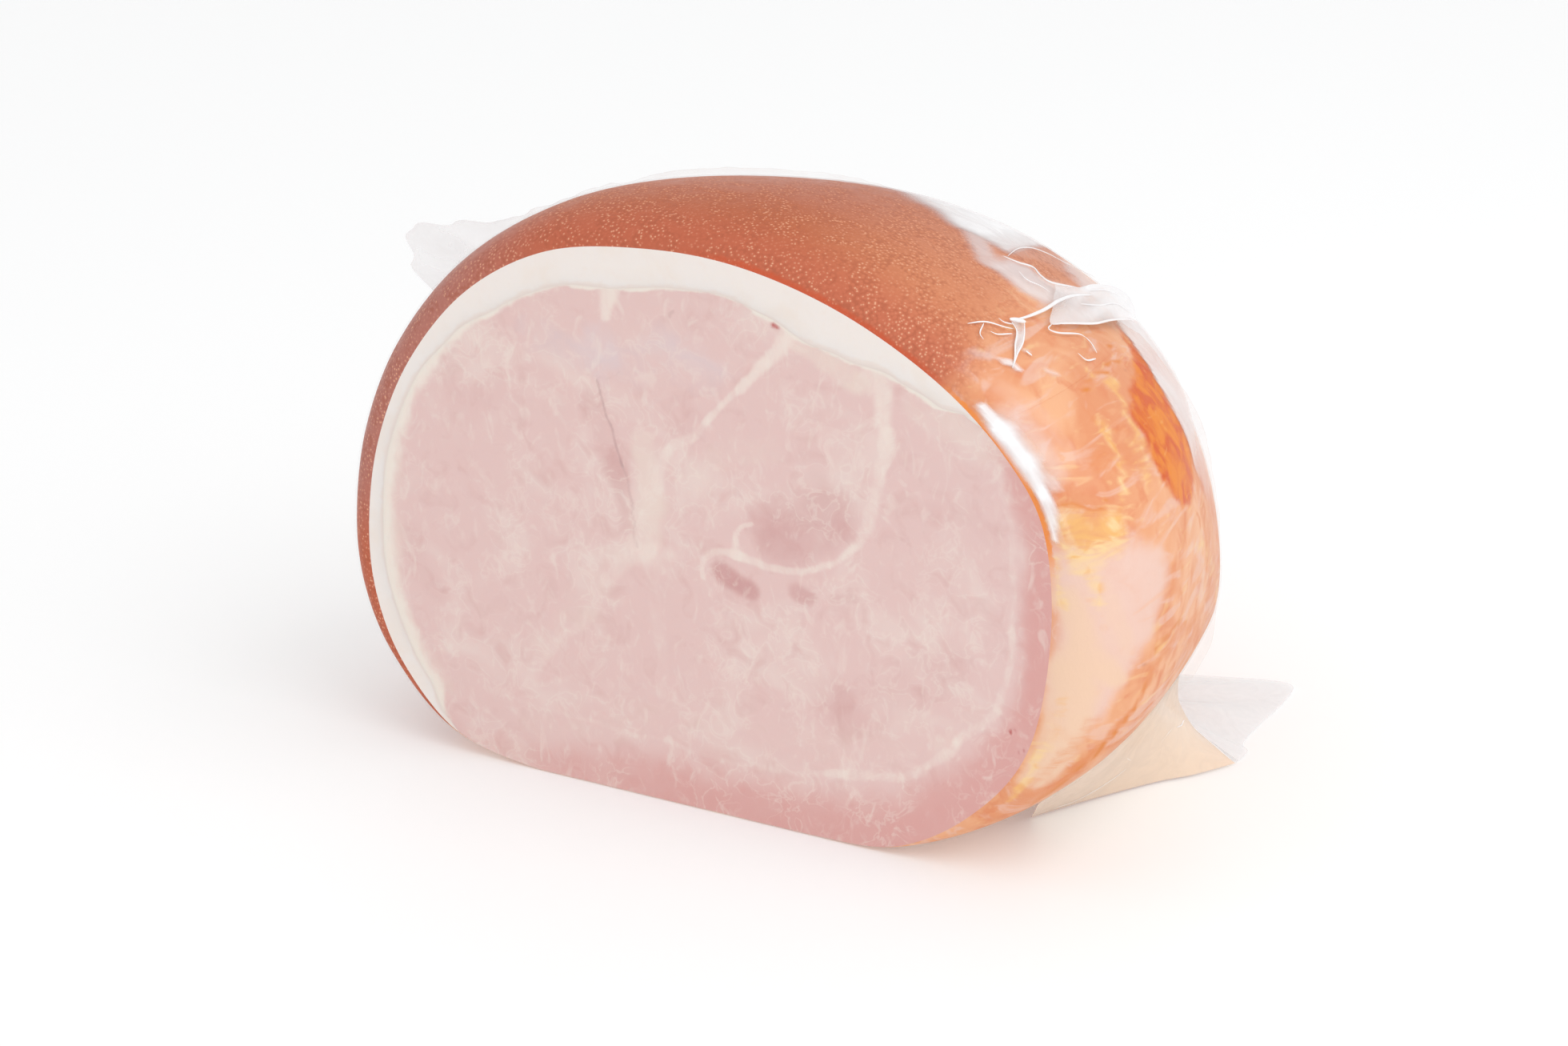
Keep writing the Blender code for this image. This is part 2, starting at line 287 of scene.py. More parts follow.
# %% A point over the surface, by angle and depth
def surface_points(angles, depths, lifts):
    """Points over the ham's surface, at angles round the cut face and depths behind it."""
    points = []
    for angle, depth, lift in np.broadcast(angles, depths, lifts):
        flat = section(depth / LENGTH, np.full(COLUMNS, -float(lift)))
        around = angles_of(flat)
        order = np.argsort(around)
        x, z = (np.interp(angle, around[order], flat[order, axis]) for axis in (0, 1))
        points.append((x, CUT_PLANE + depth, z))
    return np.array(points)


# %% [markdown]
# ## From rows of points to a mesh
# A ham, a sheet of film and a thin strand are all one thing to Blender: a grid of faces that is bent
# into place. `bmesh.ops.create_grid` makes the flat grid, its points are moved to where the form wants
# them, and `remove_doubles` closes the seam where the grid meets itself and the poles where a row
# shrinks to a point. Values that belong to each point, such as its distance from the cut edge, are kept
# in layers of the same mesh, because they paint the surface later. Every piece is shaded smooth, but
# edges sharper than fifty degrees, such as the rim of the cut, stay crisp.

# %% Grids and finished pieces
MERGE = 2e-6
SHARPEST = math.radians(50)


def bent_grid(rows, layers):
    """A grid of faces through rows of points in millimetres, with a layer of values for each name."""
    count, width = rows.shape[:2]
    bm = bmesh.new()
    for name in layers:
        bm.verts.layers.float.new(name)
    made = bmesh.ops.create_grid(bm, x_segments=width - 1, y_segments=count - 1, size=1)["verts"]
    for vert, point in zip(made, rows.reshape(-1, 3)):
        vert.co = point * MM
    for name, values in layers.items():
        layer = bm.verts.layers.float[name]
        for vert, value in zip(made, np.asarray(values, float).reshape(-1)):
            vert[layer] = value
    return bm


def wrapped(rows):
    """The same rows with their first column repeated as their last."""
    return np.concatenate((rows, rows[:, :1]), 1)


def piece(name, bm, node=None):
    """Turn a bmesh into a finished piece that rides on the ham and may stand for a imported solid."""
    mesh = bpy.data.meshes.new(name)
    bm.to_mesh(mesh)
    bm.free()
    mesh.shade_smooth()
    mesh.set_sharp_from_angle(angle=SHARPEST)
    thing = bpy.data.objects.new(name, mesh)
    bpy.context.collection.objects.link(thing)
    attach(thing, "root")
    if node:
        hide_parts(node)
    return thing


# %% Reading and painting a mesh
def values_of(mesh, name):
    """A layer's values as an array."""
    values = np.zeros(len(mesh.vertices), np.float32)
    mesh.attributes[name].data.foreach_get("value", values)
    return values


def places_of(mesh):
    """The points of a mesh, in millimetres."""
    places = np.zeros(len(mesh.vertices) * 3, np.float32)
    mesh.vertices.foreach_get("co", places)
    return places.reshape(-1, 3) / MM


def paint(mesh, name, values):
    """Write values from 0 to 1 on a mesh, for a material to read."""
    layer = mesh.attributes.get(name) or mesh.attributes.new(name, "FLOAT", "POINT")
    layer.data.foreach_set("value", np.clip(values, 0, 1).astype(np.float32))


def count_of(thing):
    """How many triangles a piece has."""
    return sum(len(face.vertices) - 2 for face in thing.data.polygons)


# %% [markdown]
# ## The fat's depth
# Under the rind lies a band of fat. Measured round the cut face, from the right over the top to the
# left, it swells and thins, and it runs back under the rind, thinning as it goes. One table holds its
# depth at named angles. Both the lean meat, which lies under it, and the fat itself read that table, so
# the two always meet.

# %% Fat depth
FAT_DEPTHS = (
    (28, 0), (31, 1.2), (36, 5), (44, 6.8), (54, 10.5), (62, 12), (72, 10), (82, 8.6), (94, 9.6),
    (108, 11), (122, 9.2), (136, 8.5), (148, 5.8), (160, 4), (175, 3.7), (190, 4.7), (205, 5.8),
    (214, 5), (221, 1.2), (224, 0),
)
FAT_THIN_START = 0.55
FAT_THIN_SHARE = 0.3
FAT_END = (0.86, 0.92)
FACE_RINGS = 104
ROLL_RINGS = 15
BACK_RINGS = 52


def fat_depth(share):
    """The fat's depth at each column, at a share of the ham's length."""
    past = max(0.0, (share - FAT_THIN_START) / (1 - FAT_THIN_START))
    ends = 1 - eased(share, *FAT_END)
    return smooth_value(FAT_DEPTHS, outline_angles) * (1 - past * (1 - FAT_THIN_SHARE)) * ends


def ring_shares(roll_rings, back_rings):
    """The rings' places, evenly spaced over the rolled edge and then along the ham."""
    roll = EDGE_ROLL * (1 - np.cos(np.linspace(0, math.pi / 2, roll_rings + 1)))
    first = math.asin(EDGE_ROLL / LENGTH)
    back = LENGTH * np.sin(np.linspace(first, math.pi / 2, back_rings + 1)[1:])
    return np.concatenate((roll, back)) / LENGTH


shares = ring_shares(ROLL_RINGS, BACK_RINGS)
print("fat is", round(float(fat_depth(0.0).max()), 1), "mm deep at most")


# %% [markdown]
# ## The lean meat
# The lean is one closed form. It starts as a point in the middle of the cut face, spreads over the face
# in rings, turns the corner at the outline and runs back to the far end. Where fat lies on it, the form
# is drawn in by the fat's depth. The rings on the face are close together, because the seams and
# patches of the meat are painted on their points.

# %% Lean meat form
def face_rows(rings, boundary, depth):
    """Rings of points on the cut face, from its middle out to a boundary."""
    spread = np.linspace(0, 1, rings + 1)[:-1]
    flat = FACE_CENTRE + (boundary - FACE_CENTRE) * spread[:, None, None]
    return np.stack((flat[..., 0], np.full(flat.shape[:2], depth), flat[..., 1]), 2)


def edge_distances(rows, face_count):
    """Distance from the cut edge along each column: below zero on the face, above it on the outside."""
    steps = np.linalg.norm(np.diff(rows, axis=0), axis=2)
    travelled = np.concatenate((np.zeros((1, rows.shape[1])), np.cumsum(steps, axis=0)))
    return travelled - travelled[face_count]


lean_rings = np.array([ring(share, fat_depth(share)) for share in shares])
lean_rows = np.concatenate((face_rows(FACE_RINGS, lean_rings[0][:, (0, 2)], CUT_PLANE), lean_rings))
lean_rows = wrapped(lean_rows)
lean_bm = bent_grid(lean_rows, {"edge": edge_distances(lean_rows, FACE_RINGS)})
bmesh.ops.remove_doubles(lean_bm, verts=lean_bm.verts, dist=MERGE)
bmesh.ops.recalc_face_normals(lean_bm, faces=lean_bm.faces)
lean = piece("lean", lean_bm, "lean_meat")
print("lean:", count_of(lean), "triangles")

# %% [markdown]
# ## The fat and its rind
# The fat is a closed band. A column of it runs forward along the underside, up across the cut, and back
# over the rind. At both ends of the band, and at its back edge, the underside meets the rind, so the
# band closes on itself there when doubles are merged.

# %% Fat and rind form
FAT_ACROSS = 14
FAT_UNDER_RINGS = 24

fat_columns = np.where(smooth_value(FAT_DEPTHS, outline_angles) > 0)[0]
fat_columns = fat_columns[np.argsort(-outline_angles[fat_columns])]
fat_shares = shares[shares < FAT_END[1]]
fat_shares = np.append(fat_shares, FAT_END[1])
under_shares = np.linspace(0, 1, FAT_UNDER_RINGS + 1)[:0:-1] ** 1.5 * FAT_END[1]
under = np.array([ring(share, fat_depth(share)) for share in under_shares])
rind_rings = np.array([ring(share, 0.0) for share in fat_shares])
low_edge = ring(0.0, fat_depth(0.0))
across = np.linspace(0, 1, FAT_ACROSS + 1)[:-1, None, None]
band_rings = low_edge + (rind_rings[0] - low_edge) * across
fat_rows = np.concatenate((under, band_rings, rind_rings))[:, fat_columns]
fat_edge = edge_distances(fat_rows, len(under) + FAT_ACROSS)
fat_bm = bent_grid(fat_rows, {"edge": fat_edge})
bmesh.ops.remove_doubles(fat_bm, verts=fat_bm.verts, dist=MERGE)
open_rim = [edge for edge in fat_bm.edges if edge.is_boundary]
bmesh.ops.holes_fill(fat_bm, edges=open_rim)
bmesh.ops.triangulate(fat_bm, faces=[face for face in fat_bm.faces if len(face.verts) > 4])
bmesh.ops.recalc_face_normals(fat_bm, faces=fat_bm.faces)
fat = piece("fat_rind", fat_bm, "fat_cap")
print("fat and rind:", count_of(fat), "triangles")

# %% [markdown]
# ## Painting the cut face
# A pressed ham is several muscles squeezed together. Pale seams of fat and sinew run between them, some
# muscles are rosier than others, and under the outside runs a redder band that the cure reached first.
# Each of these is a short list of places on the face, in millimetres across and up. A function measures
# how near every point of the mesh is to such a line, and the result is painted on the mesh. The places
# are stirred a little first, so that no line is perfectly smooth. Where fat meets lean, each takes on a
# little of the other's colour over a few millimetres, as they do in real meat.

# %% Nearness to a line
def nearness(points, line, start_width, end_width):
    """1 on a line of places and 0 beyond its half width, which may change along it."""
    line = smooth_line(line, max(8, 4 * len(line)))
    steps = np.diff(line, axis=0)
    lengths = np.linalg.norm(steps, axis=1)
    starts = np.concatenate(((0,), np.cumsum(lengths)))
    best = np.full(len(points), np.inf)
    along = np.zeros(len(points))
    for start, step, length, travelled in zip(line, steps, lengths, starts):
        share = np.clip(((points - start) @ step) / length ** 2, 0, 1)
        distance = np.linalg.norm(points - start - share[:, None] * step, axis=1)
        nearer = distance < best
        best = np.where(nearer, distance, best)
        along = np.where(nearer, (travelled + share * length) / starts[-1], along)
    width = start_width + (end_width - start_width) * along
    return 1 - eased(best / width, 0.25, 1)


def layered(points, marks):
    """Several marks laid over each other: each is a strength, two half widths and a line."""
    clear = np.ones(len(points))
    for strength, start_width, end_width, line in marks:
        clear *= 1 - strength * nearness(points, line, start_width, end_width)
    return 1 - clear


# %% Seams, muscles and patches of the cut face
FACE_MARKS = {
    # strength, half widths at both ends, and a line of places across and up
    "seam": (
        (0.95, 5.4, 2.0, ((30, 138), (25, 131), (20, 126), (14, 119.5))),
        (0.80, 1.8, 1.8, ((18, 124), (14, 119.5), (8, 113.5), (4, 109))),
        (0.60, 2.0, 2.6, ((6, 111), (0, 104), (-5, 101), (-8, 96), (-10, 88))),
        (0.45, 5.5, 6.5, ((-9, 97), (-12, 88), (-12.5, 80), (-14, 72))),
        (0.95, 7.0, 4.0, ((51, 135), (54, 127), (54.8, 118), (55.5, 111))),
        (0.70, 4.0, 2.0, ((55.5, 113), (54.5, 104), (52.5, 95), (50.5, 88), (46, 82))),
        (0.75, 1.9, 2.1, ((47, 83), (42, 79), (37, 75.4), (31, 73), (24, 72.8), (18, 73.5), (13, 74.2))),
        (0.85, 1.7, 1.3, ((13, 74), (12.9, 78), (13.8, 81.6), (17, 83.4))),
        (0.75, 2.0, 1.5, ((15, 74), (10, 74.2), (6, 73), (3.4, 70.5), (3.2, 66.5))),
        (0.97, 7.0, 2.4, ((-24.5, 144), (-25, 138.5), (-25.2, 133))),
        (0.45, 6.5, 4.0, ((-8, 69), (-16, 69.5), (-23, 68), (-33, 66))),
        (0.50, 5.0, 2.2, ((-17, 69), (-27, 58), (-31, 51), (-37, 44), (-42, 38), (-47, 30))),
        (0.38, 4.5, 3.0, ((-14, 69), (-12, 60), (-10.5, 50), (-9.5, 40), (-9, 30))),
        (0.30, 4.0, 2.5, ((-12, 70), (-5, 72), (2, 72.5))),
        (0.42, 1.7, 2.2, ((-78, 108), (-76, 100), (-73, 92), (-68, 85.5), (-62, 81))),
        (0.34, 1.6, 2.0, ((-44, 107), (-38, 100), (-33.5, 92), (-31, 84), (-31, 74))),
        (0.34, 1.4, 1.8, ((-60, 20), (-50, 25), (-40, 27.5), (-32, 31))),
        (0.30, 1.6, 1.6, ((44, 54), (50, 55), (57, 52))),
        (0.40, 1.8, 1.4, ((61, 60.5), (64, 61.3), (68, 60.6))),
        (0.32, 1.6, 1.4, ((60, 47), (65, 48.5), (69, 46))),
        (0.34, 1.6, 2.0, ((-20, 60), (-24, 52), (-22, 44))),
        (0.35, 1.3, 1.1, ((15, 88), (18, 91), (19, 94))),
        (0.30, 1.4, 1.2, ((-47, 56), (-40, 58), (-33, 62))),
        (0.30, 1.8, 1.3, ((-86, 24), (-78, 28), (-70, 27), (-63, 31))),
        (0.45, 2.8, 1.8, ((-85, 26), (-83, 21), (-81, 16))),
        (0.40, 2.6, 1.8, ((-58, 20), (-56.5, 16), (-52, 12))),
    ),
    "rim_seam": (
        (0.42, 1.6, 1.6, ((-57, 20), (-42, 18), (-27, 18), (-4, 16.5), (15, 16), (44, 18.5))),
        (0.62, 2.4, 2.6, ((40, 18), (50, 19.5), (62, 23.5), (71, 29), (78, 35.5))),
        (0.60, 2.6, 2.0, ((77, 35), (84, 42), (88.5, 50), (91, 60), (91.6, 70))),
        (0.45, 2.0, 2.6, ((91.6, 68), (91.5, 80), (91, 90), (89.5, 101), (87, 111))),
    ),
    "rose": (
        (0.62, 14.0, 12.0, ((27, 80.5), (34, 84), (42, 90))),
        (0.35, 9.0, 7.0, ((20, 86), (28, 92), (36, 97))),
        (0.95, 5.2, 4.6, ((9, 68.5), (12.5, 67), (17, 65.6))),
        (0.72, 4.0, 3.6, ((30, 67.2), (34, 66))),
        (0.45, 3.0, 2.6, ((41, 67), (48, 68))),
        (0.36, 9.0, 7.0, ((-88, 60), (-86, 52), (-80, 46))),
        (0.30, 12.0, 10.0, ((-74, 112), (-70, 100), (-60, 108))),
        (0.40, 8.0, 6.0, ((-30, 108), (-25, 98), (-22, 88))),
        (0.42, 6.0, 4.0, ((-24, 92), (-20.5, 84), (-19, 75))),
        (0.36, 6.0, 5.0, ((-3, 114), (2, 108), (-6, 106))),
        (0.30, 6.0, 6.0, ((-25, 56), (-24, 44))),
        (0.34, 7.0, 5.0, ((68, 96), (78, 98), (86, 92))),
        (0.22, 10.0, 8.0, ((40, 104), (48, 108), (50, 98))),
        (0.36, 16.0, 14.0, ((46, 38), (60, 44), (74, 56))),
        (0.20, 12.0, 10.0, ((20, 40), (34, 46), (46, 34))),
    ),
    "cream": (
        (0.75, 7.0, 9.0, ((-14, 100), (-13, 88), (-14, 74))),
        (0.45, 11.0, 9.0, ((-24, 66), (-34, 52), (-44, 38))),
        (0.55, 8.0, 9.0, ((64, 123), (74, 119), (84, 114))),
        (0.50, 9.0, 12.0, ((-83, 118), (-91, 100), (-96, 80), (-96, 60))),
        (0.55, 9.0, 9.0, ((-97, 58), (-95, 40), (-88, 27), (-80, 17))),
        (0.32, 8.0, 8.0, ((22, 118), (34, 112), (46, 118))),
        (0.80, 5.0, 6.0, ((30, 134), (38, 131), (48, 127))),
        (0.40, 12.0, 14.0, ((-50, 12), (-20, 21), (10, 23), (40, 26), (68, 36))),
        (0.40, 5.0, 5.0, ((72, 32), (82, 44), (87, 56))),
        (0.30, 7.0, 9.0, ((-66, 45), (-56, 42), (-50, 36))),
        (0.35, 7.0, 7.0, ((-10, 84), (0, 90), (6, 84))),
        (0.50, 9.0, 9.0, ((4, 96), (12, 102), (22, 104))),
    ),
    "lilac": (
        (0.40, 12.0, 10.0, ((-46, 124), (-33, 121), (-26, 124))),
        (0.36, 11.0, 11.0, ((-26, 128), (-24, 118), (-10, 124), (4, 122))),
        (0.25, 9.0, 8.0, ((-12, 130), (0, 128), (10, 126))),
    ),
    "dark": (
        (0.62, 0.9, 0.8, ((-27.6, 114.5), (-26, 107), (-23.2, 99), (-21, 92))),
        (0.42, 0.9, 0.9, ((-21.5, 93), (-19.6, 88), (-18, 82), (-17.2, 77), (-17.4, 71))),
        (0.50, 1.2, 1.0, ((-6, 135.4), (-4.6, 136.8))),
        (0.30, 0.7, 0.7, ((-30, 115.6), (-24, 116), (-21, 118.4))),
        (0.20, 0.7, 0.6, ((72, 69), (76, 66), (79, 65))),
        (0.25, 0.7, 0.6, ((62, 92), (63, 86), (65, 82))),
        (0.25, 0.7, 0.6, ((68, 96), (67, 88), (68.5, 80))),
    ),
    "blood": (
        (0.80, 1.5, 1.1, ((24, 138), (25, 137.4))),
        (0.30, 3.2, 2.0, ((25, 137.6), (26.5, 135))),
        (0.95, 1.1, 0.9, ((91.2, 41.4), (92, 42.2))),
        (0.60, 1.0, 0.8, ((93.8, 36), (95, 37))),
        (0.30, 0.8, 0.7, ((66, 21.5), (71, 22.6), (75, 23.4))),
        (0.22, 0.9, 0.8, ((-42.6, 52.6), (-42, 53))),
    ),
}
STIR = ((16, 1.5, 1), (4.5, 0.6, 3))

lean_places = places_of(lean.data)
flat_places = lean_places[:, (0, 2)].astype(float)
stirred = flat_places.copy()
for size, reach, seed in STIR:
    stirred[:, 0] += reach * cloud(lean_places, size, seed)
    stirred[:, 1] += reach * cloud(lean_places, size, seed + 1)
for name, marks in FACE_MARKS.items():
    paint(lean.data, name, layered(stirred, marks))
print("painted on the cut:", ", ".join(FACE_MARKS))

# %% The redder band under the outside
BAND_WIDTHS = (
    (-90, 16), (-76, 17), (-60, 19), (-52, 20), (-41, 19), (-28, 15), (-18, 10), (-6, 9), (7, 9), (15, 8),
    (22, 5), (30, 0), (200, 0), (222, 6), (232, 14), (250, 16), (270, 16),
)
BAND_STRENGTHS = (
    (-90, 0.75), (-60, 0.8), (-30, 0.85), (0, 1), (18, 0.7), (28, 0.2), (200, 0), (226, 0.35), (245, 0.6),
    (270, 0.75),
)

face_angles = angles_of(stirred)
inside = -values_of(lean.data, "edge") + 1.6 * cloud(lean_places, 9, 8) + 0.8 * cloud(lean_places, 3, 9)
band_width = np.maximum(smooth_value(BAND_WIDTHS, face_angles), 0.1)
band = 1 - eased(inside / band_width, 0.25, 1.3)
paint(lean.data, "band", band * smooth_value(BAND_STRENGTHS, face_angles))
print("the band is", round(float(band_width.max()), 1), "mm wide at most")

# %% Where fat and lean run into each other
FAT_FADES = (
    # angle, and how far the fat's white runs into the lean
    (28, 1.6), (40, 1.6), (100, 1.3), (140, 2.0), (160, 6.0), (190, 7.5), (214, 6.0), (224, 1.0),
)
LEAN_FADE = 1.8

fat_here = smooth_value(FAT_DEPTHS, face_angles)
fade = smooth_value(FAT_FADES, face_angles)
paint(lean.data, "near_fat", (1 - eased(inside / fade, 0, 1)) * eased(fat_here, 0.3, 2))
fat_places = places_of(fat.data)
past_lean = values_of(fat.data, "edge") + smooth_value(FAT_DEPTHS, angles_of(fat_places[:, (0, 2)]))
paint(fat.data, "near_lean", 1 - eased(past_lean + 0.8 * cloud(fat_places, 3, 9), 0, LEAN_FADE))
print("fat runs into lean over", round(float(fade.max()), 1), "mm at most")

# %% [markdown]
# ## Painting the outside
# Over the top and down the left the ham wears its rind, smoked brown and redder near the cut. On the
# right the rind was trimmed away and the smoke coloured the meat itself: peach, with yellow streaks,
# one deep amber patch and orange folds lower down. A place on the outside is given by its angle round
# the cut face and its depth behind it. Near the cut the outside faces forward, so a depth there is less
# than the way over the surface. A helper turns both numbers into millimetres over the surface.

# %% Places on the outside
MM_A_DEGREE = 1.75

skin_rings = np.array([ring(share, 0.0) for share in shares])
skin_runs = edge_distances(skin_rings, 0)
skin_depths = skin_rings[:, 0, 1] - CUT_PLANE
print("from the cut back to the end:", round(float(skin_runs.max())), "mm over the surface at most")


def run_back(line):
    """Angles and depths turned into millimetres round the ham and millimetres back from the cut edge."""
    placed = []
    for angle, depth in line:
        column = np.argmin(np.abs(outline_angles - angle))
        placed.append((angle * MM_A_DEGREE, np.interp(depth, skin_depths, skin_runs[:, column])))
    return placed


def patch(points, edge_line, softness):
    """1 inside a closed line of places, 0 outside it, with a soft border."""
    corners = smooth_line(edge_line, 5 * len(edge_line), closed=True)
    after = np.roll(corners, -1, 0)
    steps = after - corners
    inside = np.zeros(len(points), bool)
    nearest = np.full(len(points), np.inf)
    for start, end, step in zip(corners, after, steps):
        crosses = (start[1] > points[:, 1]) != (end[1] > points[:, 1])
        rise_of_edge = step[1] if abs(step[1]) > 1e-9 else 1e-9
        level_x = start[0] + step[0] * (points[:, 1] - start[1]) / rise_of_edge
        inside ^= crosses & (points[:, 0] < level_x)
        share = np.clip(((points - start) @ step) / (step @ step), 0, 1)
        nearest = np.minimum(nearest, np.linalg.norm(points - start - share[:, None] * step, axis=1))
    return eased(np.where(inside, nearest, -nearest), -softness, softness)


def layered_back(points, marks):
    """Marks of the outside, whose lines are angles and depths, laid over each other."""
    return layered(points, [(*mark[:3], run_back(mark[3])) for mark in marks])


def patched(cover, points, softness, strength, edge_line):
    """A patch inside a closed line of angles and depths, laid over what is there."""
    return 1 - (1 - cover) * (1 - strength * patch(points, run_back(edge_line), softness))


# %% Marks on the outside
SKIN_MARKS = {
    # strength, half widths at both ends in millimetres, and a line of angles and depths
    "amber": (
        (0.75, 2.6, 3.2, ((31, 80), (29, 78), (27, 78))),
        (0.35, 6.0, 6.0, ((20, 12), (18, 17), (17, 26))),
        (0.40, 3.0, 2.0, ((24, 22), (21, 27), (20, 34))),
        (0.45, 12.0, 9.0, ((-4, 112), (-16, 108), (-28, 100))),
        (0.55, 10.0, 9.0, ((224, 70), (228, 96), (222, 112))),
    ),
    "yellow": (
        (0.60, 2.4, 1.6, ((8, 0.2), (4, 0.2), (0, 0.2))),
        (0.55, 4.0, 3.0, ((7, 2), (4, 3.4), (1, 4))),
        (0.55, 1.8, 1.4, ((-7, 96), (-11, 96), (-15, 90))),
        (0.60, 1.6, 1.4, ((-7.5, 49), (-9, 48), (-10.5, 46))),
        (0.60, 1.8, 1.4, ((-7, 24), (-8, 29), (-7.5, 38), (-6.5, 44))),
        (0.80, 3.2, 2.6, ((22.5, 24), (20, 22.5), (17, 20), (14, 15))),
        (0.75, 3.4, 3.0, ((26, 44), (24, 41), (21.5, 37.5), (19, 35), (16, 34))),
        (0.45, 5.0, 4.0, ((18, 30), (15, 27), (12, 24))),
        (0.60, 2.6, 2.2, ((28, 36), (26, 39), (25, 44))),
        (0.70, 2.4, 2.6, ((-21, 0.4), (-25, 0.6), (-30, 1))),
        (0.40, 4.0, 4.0, ((-12, 1), (-16, 1), (-20, 1))),
        (0.45, 5.0, 4.0, ((1, 60), (-3, 70), (-8, 82), (-12, 90))),
        (0.40, 3.0, 3.0, ((-5, 32), (-9, 24), (-13, 17))),
        (0.40, 8.0, 6.0, ((-30, 60), (-24, 78), (-20, 96))),
        (0.45, 8.0, 7.0, ((226, 30), (230, 60), (226, 88))),
    ),
    "pale": (
        (0.50, 14.0, 12.0, ((-24, 40), (-30, 60), (-32, 80))),
        (0.40, 14.0, 12.0, ((228, 20), (236, 50), (234, 80))),
        (0.35, 6.0, 5.0, ((32, 6), (27, 9), (22, 9))),
    ),
    "cream_skin": (
        (0.80, 6.0, 5.0, ((2, 0.4), (-3, 2), (-7, 5), (-9, 9))),
        (0.75, 7.0, 6.0, ((-9, 2), (-15, 3), (-20, 3), (-25, 2))),
        (0.65, 4.0, 4.0, ((-8, 0.3), (-14, 0.3), (-20, 0.4), (-26, 0.5))),
        (0.45, 6.0, 5.0, ((6, 3), (2, 5), (-2, 8), (-5, 11))),
        (0.70, 7.0, 5.0, ((-6, 1), (-11, 2), (-15, 4))),
        (0.50, 6.0, 6.0, ((-12, 4), (-18, 2), (-24, 3))),
    ),
    "fold": (
        (0.80, 4.0, 3.4, ((-10, 62), (-9, 45), (-8.6, 36), (-9.6, 27), (-11.4, 22))),
        (0.90, 3.6, 4.6, ((-11, 22), (-14, 19), (-16.4, 14), (-20, 10), (-24.5, 8), (-29, 9))),
        (0.60, 2.8, 2.4, ((2, 33), (-1, 31), (-3.4, 28), (-6, 24), (-9, 20))),
        (0.50, 4.0, 3.4, ((-15, 6.4), (-18, 4.6), (-22, 2.6), (-26, 1.4))),
        (0.50, 7.0, 7.0, ((5, 46), (0.5, 40), (-3, 38))),
        (0.60, 4.0, 3.0, ((-30, 9), (-36, 12), (-42, 16))),
        (0.40, 6.0, 5.0, ((-36, 40), (-30, 66), (-18, 90))),
        (0.50, 6.0, 5.0, ((234, 30), (240, 60), (236, 84))),
    ),
    "gold_line": (
        (0.60, 1.2, 1.0, ((16, 0.4), (15.2, 1), (14.6, 3.6), (13, 6), (14, 8.6), (15, 10))),
        (0.90, 1.0, 0.9, ((25.6, 25), (27.2, 30), (27.4, 38), (27, 48), (27.6, 58), (29, 61))),
        (0.70, 1.3, 1.1, ((-7.4, 44), (-6.4, 28), (-8, 23), (-10.5, 22), (-13.5, 20))),
        (0.85, 1.2, 1.5, (
            (-13.5, 20), (-16, 16), (-18.5, 12), (-21.5, 11), (-24, 9), (-29, 10), (-35, 12),
        )),
        (0.50, 1.1, 0.9, ((24, 24), (23, 23), (21.4, 24))),
    ),
    "dark_skin": (
        (0.55, 0.9, 0.7, ((48, 86), (46.6, 80), (45.6, 76))),
        (0.45, 1.0, 0.8, ((47, 92), (45, 88), (43.6, 84))),
        (0.40, 0.9, 0.7, ((44.6, 74), (43, 76), (42.4, 82))),
        (0.55, 0.5, 0.4, ((-8, 18.7), (-8.2, 19.4))),
        (0.35, 0.7, 0.6, ((24, 58), (25.4, 56))),
        (0.30, 0.7, 0.6, ((30, 66), (28.6, 62))),
    ),
}
SKIN_PATCHES = {
    # softness, strength, and a closed line of angles and depths
    "yellow": (4.0, 0.78, (
        (15.4, 0.4), (14.8, 3.6), (13, 6), (14, 8.6), (13.6, 11), (11, 13), (8, 12), (6.6, 8), (5.6, 5),
        (6.4, 2), (9, 0.6), (12, 0.3),
    )),
    "amber": (2.2, 0.95, (
        (29, 75), (28, 79), (26, 78), (23, 76), (19, 72), (16.5, 70), (12.5, 69), (9.5, 68), (8, 63),
        (6.6, 52), (8.4, 42), (11, 36), (15, 35), (18, 37), (21, 38.5), (22.4, 46), (23.4, 54),
        (24.4, 62), (26, 70),
    )),
    "pale": (5.0, 0.85, (
        (10, 0), (8, 5), (9, 11), (8, 19), (5, 28), (1, 29), (-2.5, 24), (-5.5, 21), (-8, 14), (-11, 11),
        (-15, 8), (-17, 2), (-14, 0), (-4, 0), (4, 0),
    )),
}
RIND_RIGHT = ((0, 36), (15, 40), (35, 42), (50, 46), (62, 43), (80, 39), (110, 44), (154, 60))
RIND_LEFT = ((0, 222), (40, 224), (90, 216), (154, 200))
RIND_SOFT = 7.0
LEFT_SOFT = 3.0
SKIN_STIR = ((12, 1.8, 21), (4, 1.0, 22))
TINTS = {
    # the angles at which each begins, is full, fades and ends
    "red_edge": (33, 42, 76, 96),
    "amber_edge": (4, 10, 33, 38),
    "cool_rind": (118, 146, 178, 194),
}
COOL_DEPTHS = (84, 118)
WARM_ANGLES = (42, 84)
CUT_NEARNESS = (2, 26)


